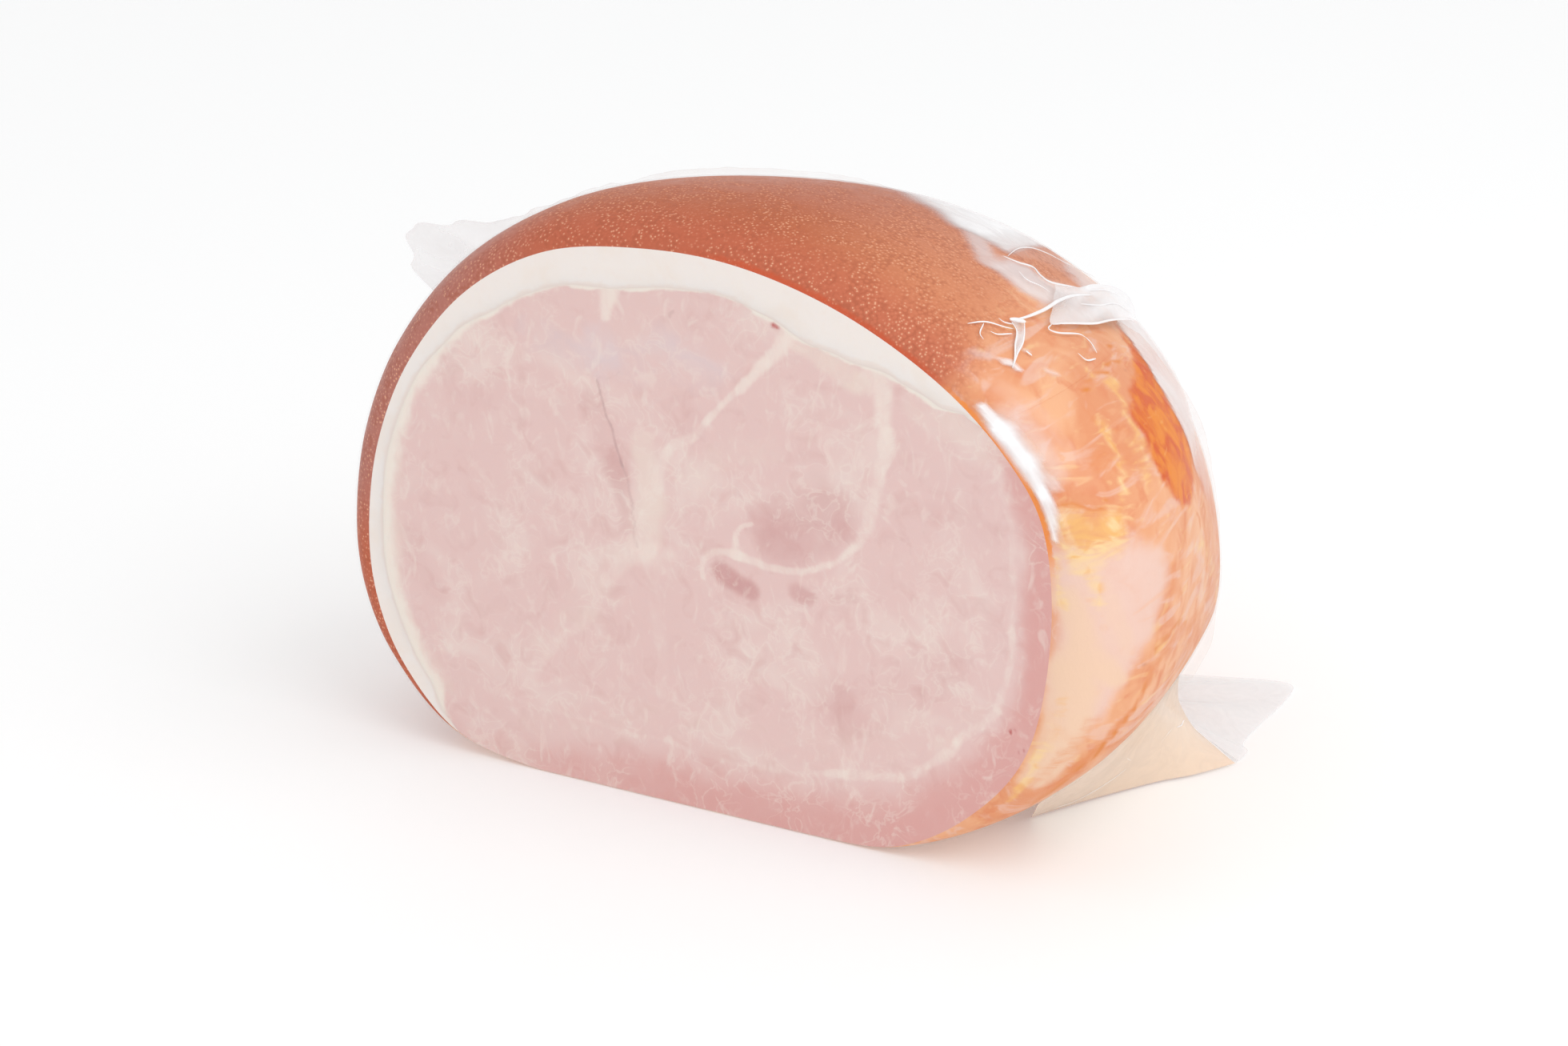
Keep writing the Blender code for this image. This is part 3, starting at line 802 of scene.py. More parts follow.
def skin_paint(mesh):
    """Paint the outside's marks on a piece, the same way on the lean and on the rind."""
    places = places_of(mesh)
    edge = values_of(mesh, "edge")
    depth = places[:, 1] - CUT_PLANE
    angle = angles_of(places[:, (0, 2)])
    spread = np.stack((angle * MM_A_DEGREE, edge), 1).astype(float)
    for size, reach, seed in SKIN_STIR:
        spread[:, 0] += reach * cloud(places, size, seed)
        spread[:, 1] += reach * cloud(places, size, seed + 2)
    for name, marks in SKIN_MARKS.items():
        cover = layered_back(spread, marks)
        if name in SKIN_PATCHES:
            cover = patched(cover, spread, *SKIN_PATCHES[name])
        paint(mesh, name, cover)
    around = spread[:, 0] / MM_A_DEGREE
    right = smooth_value(RIND_RIGHT, depth)
    left = smooth_value(RIND_LEFT, depth)
    past_right = eased(around, right - RIND_SOFT, right + RIND_SOFT)
    past_left = eased(around, left - LEFT_SOFT, left + LEFT_SOFT)
    paint(mesh, "rind", past_right * (1 - past_left))
    for name, (begins, full, fades, ends) in TINTS.items():
        tint = eased(angle, begins, full) * (1 - eased(angle, fades, ends))
        if name == "cool_rind":
            tint = tint * (1 - eased(depth, *COOL_DEPTHS))
        paint(mesh, name, tint)
    paint(mesh, "warm_rind", 1 - eased(angle, *WARM_ANGLES))
    paint(mesh, "near_cut", 1 - eased(edge, *CUT_NEARNESS))


skin_paint(lean.data)
skin_paint(fat.data)
print("painted on the outside:", ", ".join(SKIN_MARKS))


# %% [markdown]
# ## Building materials
# A material here is layers of colour: a base, and over it one colour after another, each let through by
# a painted value whose border is roughened with noise. A handful of helpers adds the nodes, so that each
# finish below reads as its list of layers. Noise is read in object coordinates, so its grain has a real
# size in millimetres.

# %% Materials and sockets
def new_finish(name):
    """An empty material and its node tree."""
    material = bpy.data.materials.new(name)
    material.use_nodes = True
    return material, material.node_tree


def put(tree, socket, value):
    """Set a socket to a value, or join it to another node's output."""
    if isinstance(value, bpy.types.NodeSocket):
        tree.links.new(value, socket)
    else:
        socket.default_value = value


def painted(tree, name):
    """A value that was painted on the mesh."""
    found = tree.nodes.new("ShaderNodeAttribute")
    found.attribute_name = name
    return found.outputs["Fac"]


# %% Noise in the ham's own frame
def object_place(tree, stretch=(1, 1, 1)):
    """Places in the ham's own frame, stretched where a grain is longer one way."""
    place = tree.nodes.new("ShaderNodeTexCoord")
    turned = tree.nodes.new("ShaderNodeMapping")
    turned.inputs["Scale"].default_value = stretch
    tree.links.new(place.outputs["Object"], turned.inputs["Vector"])
    return turned.outputs["Vector"]


def grain(tree, size, detail=3.0, distortion=0.0, stretch=(1, 1, 1)):
    """Noise from 0 to 1 with swells of that size in millimetres."""
    swell = tree.nodes.new("ShaderNodeTexNoise")
    swell.inputs["Scale"].default_value = 1 / (size * MM)
    swell.inputs["Detail"].default_value = detail
    swell.inputs["Distortion"].default_value = distortion
    tree.links.new(object_place(tree, stretch), swell.inputs["Vector"])
    return swell.outputs["Fac"]


# %% Arithmetic, layers and relief
def sums(tree, operation, first, second):
    """One step of arithmetic."""
    step = tree.nodes.new("ShaderNodeMath")
    step.operation = operation
    put(tree, step.inputs[0], first)
    put(tree, step.inputs[1], second)
    return step.outputs["Value"]


def rise(tree, value, low, high, to_low=0.0, to_high=1.0):
    """A smooth rise between two values."""
    step = tree.nodes.new("ShaderNodeMapRange")
    step.interpolation_type = "SMOOTHSTEP"
    put(tree, step.inputs["Value"], value)
    step.inputs["From Min"].default_value = low
    step.inputs["From Max"].default_value = high
    step.inputs["To Min"].default_value = to_low
    step.inputs["To Max"].default_value = to_high
    return step.outputs["Result"]


def over(tree, below, above, cover):
    """One colour laid over another, as far as cover lets it."""
    layer = tree.nodes.new("ShaderNodeMix")
    layer.data_type = "RGBA"
    put(tree, layer.inputs[0], cover)
    put(tree, layer.inputs[6], below)
    put(tree, layer.inputs[7], above)
    return layer.outputs[2]


def ragged(tree, name, noise_value, amount, low, high):
    """A painted value with its border roughened by noise."""
    centred = sums(tree, "SUBTRACT", noise_value, 0.5)
    shifted = sums(tree, "MULTIPLY_ADD", centred, amount)
    put(tree, shifted.node.inputs[2], painted(tree, name))
    return rise(tree, shifted, low, high)


def stained(tree, colour, stains):
    """Painted colours laid over a colour one after another, each with a ragged border."""
    for name, stain, noise_value, amount, low, high in stains:
        colour = over(tree, colour, stain, ragged(tree, name, noise_value, amount, low, high))
    return colour


def raised(tree, height, distance, strength=1.0):
    """A bump of that height in millimetres."""
    bump = tree.nodes.new("ShaderNodeBump")
    bump.inputs["Strength"].default_value = strength
    bump.inputs["Distance"].default_value = distance * MM
    tree.links.new(height, bump.inputs["Height"])
    return bump.outputs["Normal"]


def under_film(shader, depths):
    """Let light in a little, deeper for red than for blue, and give the soft shine of film pressed on."""
    shader.inputs["Subsurface Weight"].default_value = 0.15
    shader.inputs["Subsurface Radius"].default_value = depths
    shader.inputs["Subsurface Scale"].default_value = 0.003
    shader.inputs["Coat Weight"].default_value = 0.2
    shader.inputs["Coat Roughness"].default_value = 0.2


# %% [markdown]
# ## The cut meat
# Cured and cooked lean is a pale, slightly milky pink. Its colour drifts over centimetres from one
# muscle to the next, and over millimetres along the fibres. Light enters it a little, so it gets some
# subsurface scattering, and the film pressed on it leaves it only softly glossy.

# %% Cut lean finish
PINK = tone(226, 193, 188)
PINK_LIGHT = tone(230, 206, 199)
PINK_DEEP = tone(218, 179, 174)
CREAM = tone(232, 212, 201)
LILAC = tone(222, 202, 203)
ROSE = tone(205, 154, 151)
BAND = tone(217, 161, 155)
SEAM = tone(236, 220, 210)
FAT_EDGE = tone(237, 225, 214)
DARK_LINE = tone(188, 150, 148)
BLOOD = tone(188, 92, 88)

cut_lean, tree = new_finish("cut_lean")
broad = grain(tree, 22, 3, 0.6)
middle = grain(tree, 7, 4, 0.8)
fine = grain(tree, 1.6, 4, 0.4, (1, 1, 0.55))
colour = over(tree, PINK, PINK_LIGHT, rise(tree, broad, 0.45, 0.72))
colour = over(tree, colour, PINK_DEEP, rise(tree, middle, 0.50, 0.78, 0, 0.75))
colour = stained(tree, colour, (
    # painted value, its colour, noise, how ragged, where it begins and where it is full
    ("cream", CREAM, middle, 0.7, 0.25, 1.15),
    ("lilac", LILAC, middle, 0.8, 0.2, 0.9),
    ("rose", ROSE, middle, 0.35, 0.12, 1.15),
    ("band", BAND, middle, 0.35, 0.05, 0.95),
))
streaks = grain(tree, 5.5, 5, 1.6, (1, 1, 0.6))
colour = over(tree, colour, SEAM, rise(tree, streaks, 0.54, 0.74, 0, 0.40))
from_middle = sums(tree, "ABSOLUTE", sums(tree, "SUBTRACT", middle, 0.5), 0.0)
threads = rise(tree, from_middle, 0.0, 0.035, 0.34, 0.0)
colour = over(tree, colour, SEAM, sums(tree, "MULTIPLY", threads, rise(tree, broad, 0.38, 0.6)))
colour = stained(tree, colour, (
    ("seam", SEAM, streaks, 0.9, 0.15, 1.25),
    ("rim_seam", SEAM, streaks, 0.9, 0.15, 1.2),
    ("dark", DARK_LINE, fine, 0.3, 0.1, 1.1),
    ("blood", BLOOD, fine, 0.3, 0.15, 1.0),
    ("near_fat", FAT_EDGE, fine, 0.5, 0.1, 1.0),
))
shader = tree.nodes["Principled BSDF"]
put(tree, shader.inputs["Base Color"], colour)
put(tree, shader.inputs["Roughness"], rise(tree, middle, 0.3, 0.7, 0.38, 0.5))
under_film(shader, (1.0, 0.45, 0.35))
put(tree, shader.inputs["Normal"], raised(tree, sums(tree, "ADD", fine, middle), 0.12, 0.5))
print("cut lean:", len(tree.nodes), "nodes")

# %% [markdown]
# ## Cut fat
# The fat is white with a breath of cream, almost without marks. Along the lean it turns creamier.

# %% Cut fat finish
FAT_WHITE = tone(239, 230, 224)
FAT_CREAM = tone(236, 221, 209)
FAT_PINK = tone(238, 222, 212)

cut_fat, tree = new_finish("cut_fat")
broad = grain(tree, 12, 3, 0.5)
fine = grain(tree, 2.2, 3, 0.3)
colour = over(tree, FAT_WHITE, FAT_CREAM, rise(tree, broad, 0.42, 0.75, 0, 0.55))
colour = over(tree, colour, FAT_PINK, rise(tree, fine, 0.55, 0.8, 0, 0.3))
colour = over(tree, colour, FAT_PINK, ragged(tree, "near_lean", fine, 0.6, 0.2, 1.1))
shader = tree.nodes["Principled BSDF"]
put(tree, shader.inputs["Base Color"], colour)
put(tree, shader.inputs["Roughness"], rise(tree, fine, 0.3, 0.7, 0.32, 0.45))
under_film(shader, (1.0, 0.8, 0.6))
put(tree, shader.inputs["Normal"], raised(tree, fine, 0.1, 0.4))
print("cut fat:", len(tree.nodes), "nodes")

# %% [markdown]
# ## Smoked outside
# One finish serves the whole outside, because rind and smoked meat run into each other. The rind's
# layer comes after all the stains of the meat. Over it come the bubbles, and last the thin coloured
# lines right at the cut. Under tight film the rind carries thousands of tiny bubbles of melted fat,
# which a Voronoi pattern gives as small raised dots. Each dot is lighter, partly the paler fat and partly
# a painted glint, and the hollows between them are darkened as painted shade. The outside has hardly
# any shine of its own, because the film over it gives the shine.

# %% Colours of the smoked outside
PEACH = tone(226, 153, 112)
PEACH_LIGHT = tone(236, 178, 138)
PEACH_DEEP = tone(222, 137, 97)
PALE_SKIN = tone(233, 198, 184)
CREAM_SKIN = tone(236, 201, 174)
YELLOW = tone(242, 208, 156)
YELLOW_DEEP = tone(238, 184, 116)
FOLD = tone(226, 146, 96)
AMBER = tone(212, 94, 42)
AMBER_LIGHT = tone(230, 138, 56)
GOLD_LINE = tone(222, 138, 74)
DARK_SKIN = tone(176, 92, 66)
RIND = tone(184, 98, 61)
RIND_LIGHT = tone(195, 112, 74)
RIND_WARM = tone(213, 138, 100)
RIND_COOL = tone(184, 119, 106)
RIND_RED = tone(195, 104, 78)
RED_EDGE = tone(205, 88, 54)
AMBER_EDGE = tone(238, 142, 66)
BUBBLE_AND_GLINT = tone(238, 176, 142)
PIT_SHADE = tone(164, 86, 60)

# %% Smoked meat and rind
smoked, tree = new_finish("smoked_outside")
broad = grain(tree, 26, 3, 0.8)
middle = grain(tree, 8, 4, 1.0)
fine = grain(tree, 2.0, 4, 0.5)
streaky = grain(tree, 6, 5, 2.2, (0.5, 0.35, 1.5))
runs = grain(tree, 7, 5, 1.2, (1, 0.22, 1))
colour = over(tree, PEACH, PEACH_LIGHT, rise(tree, broad, 0.4, 0.65))
colour = over(tree, colour, PEACH_DEEP, rise(tree, middle, 0.5, 0.70, 0, 0.6))
colour = over(tree, colour, PALE_SKIN, rise(tree, runs, 0.52, 0.66, 0, 0.5))
colour = over(tree, colour, YELLOW, rise(tree, streaky, 0.56, 0.72, 0, 0.4))
colour = over(tree, colour, PALE_SKIN, ragged(tree, "pale", middle, 0.4, 0.15, 0.95))
colour = over(tree, colour, PEACH_LIGHT, rise(tree, runs, 0.42, 0.30, 0, 0.35))
colour = over(tree, colour, CREAM_SKIN, ragged(tree, "cream_skin", middle, 0.5, 0.1, 1.0))
gold = over(tree, YELLOW_DEEP, YELLOW, rise(tree, middle, 0.38, 0.56))
deep = over(tree, AMBER, AMBER_LIGHT, rise(tree, middle, 0.36, 0.64))
deep = over(tree, deep, YELLOW_DEEP, rise(tree, streaky, 0.58, 0.76, 0, 0.55))
colour = stained(tree, colour, (
    ("yellow", gold, streaky, 1.1, 0.2, 1.0),
    ("fold", FOLD, streaky, 0.9, 0.2, 1.1),
    ("amber", deep, streaky, 0.7, 0.15, 0.95),
    ("gold_line", GOLD_LINE, fine, 0.3, 0.1, 0.9),
    ("dark_skin", DARK_SKIN, fine, 0.4, 0.1, 1.1),
))
rind = over(tree, RIND, RIND_LIGHT, rise(tree, middle, 0.45, 0.75, 0, 0.6))
rind = over(tree, rind, RIND_WARM, painted(tree, "warm_rind"))
rind = over(tree, rind, RIND_RED, sums(tree, "MULTIPLY", painted(tree, "near_cut"), 0.8))
rind = over(tree, rind, RIND_COOL, painted(tree, "cool_rind"))
colour = over(tree, colour, rind, ragged(tree, "rind", middle, 0.35, 0.05, 0.95))
print("layers so far:", len(tree.nodes), "nodes")

# %% Bubbles, and the lines at the cut
BUBBLE_SIZE = 1.05

cells = tree.nodes.new("ShaderNodeTexVoronoi")
cells.inputs["Scale"].default_value = 1 / (BUBBLE_SIZE * MM)
tree.links.new(object_place(tree), cells.inputs["Vector"])
patchy = rise(tree, middle, 0.36, 0.56, 0.2, 1.0)
blistered = sums(tree, "MULTIPLY", patchy, painted(tree, "rind"))
dots = sums(tree, "MULTIPLY", rise(tree, cells.outputs["Distance"], 0.16, 0.36, 1.0, 0.0), blistered)
# Painted shade in the hollows between bubbles; the dots get a lighter colour, partly paler fat and partly a
# painted glint.
pit_shade = sums(tree, "MULTIPLY", rise(tree, cells.outputs["Distance"], 0.45, 0.75), blistered)
colour = over(tree, colour, PIT_SHADE, sums(tree, "MULTIPLY", pit_shade, 0.45))
colour = over(tree, colour, BUBBLE_AND_GLINT, sums(tree, "MULTIPLY", dots, 0.8))

uneven_edge = sums(tree, "ADD", painted(tree, "edge"), sums(tree, "MULTIPLY", fine, 2.0))
red_line = rise(tree, uneven_edge, 1.7, 3.2, 0.8, 0.0)
amber_line = rise(tree, uneven_edge, 1.9, 2.7, 0.9, 0.0)
colour = over(tree, colour, RED_EDGE, sums(tree, "MULTIPLY", red_line, painted(tree, "red_edge")))
colour = over(tree, colour, AMBER_EDGE, sums(tree, "MULTIPLY", amber_line, painted(tree, "amber_edge")))
shader = tree.nodes["Principled BSDF"]
put(tree, shader.inputs["Base Color"], colour)
put(tree, shader.inputs["Roughness"], rise(tree, middle, 0.3, 0.7, 0.32, 0.46))
shader.inputs["Specular IOR Level"].default_value = 0.03
relief = sums(tree, "ADD", sums(tree, "MULTIPLY", dots, 1.5), fine)
put(tree, shader.inputs["Normal"], raised(tree, relief, 0.2, 0.5))
print("smoked outside:", len(tree.nodes), "nodes")

# %% [markdown]
# ## Giving the finishes to the pieces
# The lean has two finishes, one for the cut and one for the outside, and so has the fat. Which face gets
# which is decided by where it lies: a face that reaches behind the cut plane is outside.

# %% Assign the finishes
BEHIND_CUT = 1e-3


def dress(thing, finish_inside, finish_outside):
    """Give the outside of a piece one finish and the rest another."""
    thing.data.materials.append(finish_inside)
    thing.data.materials.append(finish_outside)
    beyond = places_of(thing.data)[:, 1] > CUT_PLANE + BEHIND_CUT
    for face in thing.data.polygons:
        face.material_index = int(any(beyond[index] for index in face.vertices))
    print(thing.name, "is", finish_inside.name, "and", finish_outside.name)


dress(lean, cut_lean, smoked)
dress(fat, cut_fat, smoked)

# %% [markdown]
# ## The film
# Shrink film is pressed tight to the meat, so most of it is seen only by its shine. Where it stands free
# or is folded, it turns whitish. The film here is one thin clear skin just off the ham, a wavy seal fin
# round it with ears at the corners, a crumpled flap at the top right, and a tail on the floor. Each
# point carries how whitish the film is there, and a few painted highlights are laid on as more white.

# %% Tight film
FILM_LIFT = 0.45
FILM_OPENING = 0.3
FILM_FACE_RINGS = 40
FILM_ROLL_RINGS = 24
FILM_BACK_RINGS = 110

film_shares = ring_shares(FILM_ROLL_RINGS, FILM_BACK_RINGS)
film_rings = np.array([ring(share, -FILM_LIFT) for share in film_shares])
film_front = CUT_PLANE - FILM_LIFT
film_rows = np.concatenate((face_rows(FILM_FACE_RINGS, film_rings[0][:, (0, 2)], film_front), film_rings))
film_rows = wrapped(film_rows)
film_bm = bent_grid(film_rows, {"edge": edge_distances(film_rows, FILM_FACE_RINGS)})
bmesh.ops.remove_doubles(film_bm, verts=film_bm.verts, dist=MERGE)
bmesh.ops.recalc_face_normals(film_bm, faces=film_bm.faces)
whole = list(film_bm.verts) + list(film_bm.edges) + list(film_bm.faces)
bmesh.ops.bisect_plane(
    film_bm, geom=whole, plane_co=(0, 0, FILM_OPENING * MM), plane_no=(0, 0, 1), clear_inner=True,
)
film = piece("film_skin", film_bm, "film")
print("tight film:", count_of(film), "triangles")

# %% [markdown]
# Behind a line that runs round the ham the film isn't quite tight. It bridges small hollows there, with
# air under it, so it looks milky. Three tables say where that line lies, how soft it is and how milky
# the film is behind it. Further back and over the top it is tighter again, and there it is milky only in
# blotches. A few strokes are painted highlights, white laid on the film where light glints on it. The
# strip along the cut at the upper right is partly painted highlight and partly whitish film over a
# pocket of air. Two soft patches are places where a loose layer of the film lies on the ham.

# %% Haze of the tight film
FREE_LINE = (
    (-48, 84), (-20, 88), (0, 84), (5, 74), (9.5, 68.2), (16, 68.8), (20, 71), (24, 75.5), (29, 79),
    (34, 86), (45, 84), (50, 68), (60, 67), (70, 78), (84, 92), (110, 86), (140, 60), (165, 24),
    (200, 16), (226, 40),
)
FREE_SOFTNESS = (
    (-48, 8), (4, 5), (9, 0.7), (30, 0.7), (38, 3), (49, 3), (54, 6), (80, 9), (226, 8),
)
FREE_HAZE = (
    (-48, 0.03), (-2, 0.05), (6, 0.28), (14, 0.62), (27, 0.74), (36, 0.6), (43, 0.1), (49, 0.06),
    (51.5, 0.75), (58, 0.92), (68, 0.85), (84, 0.5), (110, 0.3), (150, 0.28), (180, 0.36), (226, 0.15),
)
TIGHT_BACK = 0.85
BLOTCHES = 0.75
BLOTCH_ANGLES = (70, 110)
BLOTCH_NOISE = (-0.3, 0.5)
CLEAR_AT_CUT = (0.2, 1.5)
BACK_BEGINS = (100, 136)
# Painted highlights on the film; the first four strokes are the strip along the cut at the upper right.
PAINTED_SHINE = (
    # strength, half widths, and a line of angles and depths
    (0.93, 1.8, 4.2, ((31.5, 0.8), (29.5, 0.82), (27, 0.85))),
    (0.95, 4.2, 3.8, ((27, 0.85), (24.5, 0.82), (22, 0.72))),
    (0.88, 3.8, 2.8, ((22, 0.72), (19.5, 0.62), (17, 0.5))),
    (0.80, 2.8, 1.5, ((17, 0.5), (14.5, 0.4), (12, 0.3), (11, 0.25))),
    (0.25, 7.0, 6.0, ((28, 2.5), (24, 3), (20, 2.5))),
    (0.75, 1.0, 0.9, ((35.8, 11.5), (35, 13), (33.6, 13))),
    (0.20, 2.0, 1.4, ((38.5, 8.5), (37, 10.5))),
    (0.55, 0.9, 0.8, ((35.4, 21), (34.2, 21))),
    (0.35, 1.4, 1.2, ((31, 21), (30.4, 22))),
    (0.40, 1.8, 1.6, ((18.4, 2.2), (17.6, 2.2))),
    (0.45, 7.0, 6.0, ((56, 66), (53, 58), (50, 51))),
)
SHEEN = (
    # softness, strength, and a closed line of angles and depths
    (3.0, 0.58, (
        (49.6, 62), (47.5, 65), (46, 68), (42.5, 67), (40, 72), (38.6, 78), (37.6, 64), (38.6, 53),
        (41, 48), (45, 48), (48.5, 51),
    )),
    (2.4, 0.45, ((45, 106), (42.4, 90), (40.6, 92), (39, 84), (36.6, 92), (37, 110))),
)

# %% Paint the haze of the tight film
film_places = places_of(film.data)
film_edge = values_of(film.data, "edge")
film_depth = film_places[:, 1] - CUT_PLANE
film_angle = angles_of(film_places[:, (0, 2)])
wander = 0.9 * cloud(film_places, 9, 31) + 0.4 * cloud(film_places, 3, 32)
stray = np.stack((film_angle * MM_A_DEGREE + wander, film_edge + wander[::-1]), 1).astype(float)
# The painted highlights first, then the loose layers of film laid over them.
shine_and_veils = layered_back(stray, PAINTED_SHINE)
for sheen in SHEEN:
    shine_and_veils = patched(shine_and_veils, stray, *sheen)
softness = smooth_value(FREE_SOFTNESS, film_angle)
past_line = film_depth - smooth_value(FREE_LINE, film_angle) + wander
free = eased(past_line, -softness, softness) * smooth_value(FREE_HAZE, film_angle)
free = free * (1 - TIGHT_BACK * eased(film_depth, *BACK_BEGINS))
blotches = eased(film_angle, *BLOTCH_ANGLES) * eased(cloud(film_places, 16, 33), *BLOTCH_NOISE)
free = free * (1 - BLOTCHES * blotches)
haze_and_shine = np.maximum(shine_and_veils, free) * eased(film_edge, *CLEAR_AT_CUT)
paint(film.data, "haze_and_shine", haze_and_shine)
paint(film.data, "meat_reflection", 0 * film_edge)
print("milky points:", int((haze_and_shine > 0.3).sum()), "of", len(haze_and_shine))

# %% [markdown]
# ## Seal fin and ears
# Where the two webs of film were sealed together, a narrow fin stands off all round the ham, and at the
# corners it grows into ears. A table gives its height at angles round the ham. The sheet is ruffled,
# more so at its free edge, and its edge is a little ragged. A solidified sheet has two surfaces that a
# look passes through, so each of them gets only its part of the haze.

# %% Seal fin form
FIN_ROOT = 0.6
FIN_DEPTH = 67.5
FIN_SLANT = 7.5
FIN_RANGE = (-48.0, 226.0)
FIN_COLUMNS = 560
FIN_ROWS = 14
FIN_HEIGHTS = (
    (-48, 0.8), (-36, 3), (-20, 3.5), (2, 3.5), (19, 4.5), (26, 6), (31, 4), (36, 1.2), (46, 0.8),
    (51, 2.8), (62, 3.5), (78, 3), (95, 2.2), (112, 2.4), (126, 3.2), (137, 7), (145, 11), (150, 17),
    (154, 28), (157, 34.5), (159.5, 35.5), (162, 31), (165.5, 20), (169, 10), (176, 3), (190, 3),
    (198, 6), (206, 13), (213, 6), (220, 2.5), (226, 0.8),
)
FIN_WAVE = 1.2
FIN_WAVE_COUNT = 9
FIN_WAVE_REACH = 6.0
FIN_RUFFLE = 0.5
FIN_RUFFLE_COUNT = 41
FIN_SCALLOPS = 0.12
FIN_HAZE = (
    (-48, 0.1), (4, 0.12), (12, 0.25), (28, 0.28), (40, 0.08), (52, 0.06), (110, 0.1), (140, 0.22),
    (226, 0.2),
)
FIN_MOTTLE = 0.3
FIN_EDGE_HAZE = 0.10
FIN_EDGE_START = 0.96
FIN_HAZE_RISE = (0.2, 3)
EAR_HAZE = 0.24
EAR_HAZE_RISE = (5, 25)
EAR_LEAN = 0.12
EAR_LEAN_START = 8.0

fin_angles = np.linspace(*FIN_RANGE, FIN_COLUMNS)
fin_depths = FIN_DEPTH + FIN_SLANT * np.cos(np.radians(fin_angles))
fin_root = surface_points(fin_angles, fin_depths, -FIN_ROOT)
fin_away = surface_points(fin_angles, fin_depths, FIN_ROOT) - fin_root
fin_away /= np.linalg.norm(fin_away, axis=1)[:, None]
scallops = np.array([noise.noise(Vector((angle / 2.6, 0.3, 0))) for angle in fin_angles])
fin_heights = smooth_value(FIN_HEIGHTS, fin_angles) * (1 + FIN_SCALLOPS * scallops)
fin_share = np.linspace(0, 1, FIN_ROWS + 1)
reach = fin_share[:, None] * (fin_heights + FIN_ROOT)[None, :]
fin_rows = fin_root + fin_away * reach[..., None]
wave = FIN_WAVE * np.sin(np.radians(fin_angles * FIN_WAVE_COUNT))
ruffle = FIN_RUFFLE * np.sin(np.radians(fin_angles * FIN_RUFFLE_COUNT) + 2 * scallops)
sway = (wave + ruffle) * np.minimum(reach / FIN_WAVE_REACH, 1)
fin_rows[..., 1] += sway - EAR_LEAN * np.maximum(reach - EAR_LEAN_START, 0)
print("the ear stands off", round(float(fin_heights.max()), 1), "mm")

# %% Sheets of film
FILM_THICKNESS = 0.12
MOST_HAZE = 0.99


def thin_sheet(rows, haze_and_shine, cream=0.0):
    """A thin film sheet through rows of points, with its whiteness and a painted reflection of the meat."""
    grid = np.ones(rows.shape[:2])
    haze_and_shine = 1 - np.sqrt(1 - np.clip(haze_and_shine, 0, MOST_HAZE))
    bm = bent_grid(rows, {"haze_and_shine": haze_and_shine * grid, "meat_reflection": cream * grid})
    bmesh.ops.recalc_face_normals(bm, faces=bm.faces)
    bmesh.ops.solidify(bm, geom=bm.faces[:], thickness=FILM_THICKNESS * MM)
    return bm


def joined(parts):
    """Several bmeshes in one."""
    whole = bmesh.new()
    for layer in ("haze_and_shine", "meat_reflection"):
        whole.verts.layers.float.new(layer)
    for part in parts:
        scrap = bpy.data.meshes.new("scrap")
        part.to_mesh(scrap)
        part.free()
        whole.from_mesh(scrap)
        bpy.data.meshes.remove(scrap)
    return whole


fin_haze = smooth_value(FIN_HAZE, fin_angles)[None, :] + EAR_HAZE * eased(reach, *EAR_HAZE_RISE)
fin_haze = fin_haze * (1 + FIN_MOTTLE * scallops[None, :]) * eased(reach, *FIN_HAZE_RISE)
fin_haze = fin_haze + FIN_EDGE_HAZE * (fin_share[:, None] > FIN_EDGE_START)
fin = piece("film_fin", thin_sheet(fin_rows, fin_haze))
print("seal fin:", count_of(fin), "triangles")

# %% [markdown]
# ## The crumpled flap
# At the top right the surplus film was folded forward and drawn out into strands. It is a dense fold
# and a narrow spike. Each is ruled between two lines of angles, depths and lifts over the surface, and
# rippled a little.

# %% Flap sheets
FLAP_SHEETS = (
    # ripple, how whitish at the first and second line, and both lines
    (0.35, 0.93, 0.62, (
        (41, 63, 2.0), (38.7, 70, 3.6), (37.8, 80, 5.0), (35.8, 90, 6.6), (33.5, 93, 7.0),
        (31.4, 87, 6.6), (29.9, 81, 5.4),
    ), (
        (38.6, 50, 2.0), (36.4, 38, 1.6), (35, 46, 1.7), (33, 58, 2.3), (32, 69, 3.0), (30.8, 77, 4.2),
        (29.8, 80, 4.9),
    )),
    (0.08, 0.72, 0.62, (
        (39.6, 26, 1.1), (38, 24, 1.0), (36.5, 19, 0.8), (35, 15, 0.7), (34, 12, 0.6),
    ), (
        (38.5, 30, 1.1), (37, 25, 1.0), (36, 21, 0.8), (35.3, 17, 0.7), (34.1, 12.4, 0.6),
    )),
)
SHEET_ALONG = 72
SHEET_ACROSS = 20
SHEET_STREAKS = 0.14
SHEET_START = 0.45
LEAST_LIFT = 0.6


def ruled(first, second, along, across):
    """Rows of places between two lines."""
    first = smooth_line(first, along + 1)
    second = smooth_line(second, along + 1)
    share = np.linspace(0, 1, across + 1)[:, None, None]
    return first[None] * (1 - share) + second[None] * share


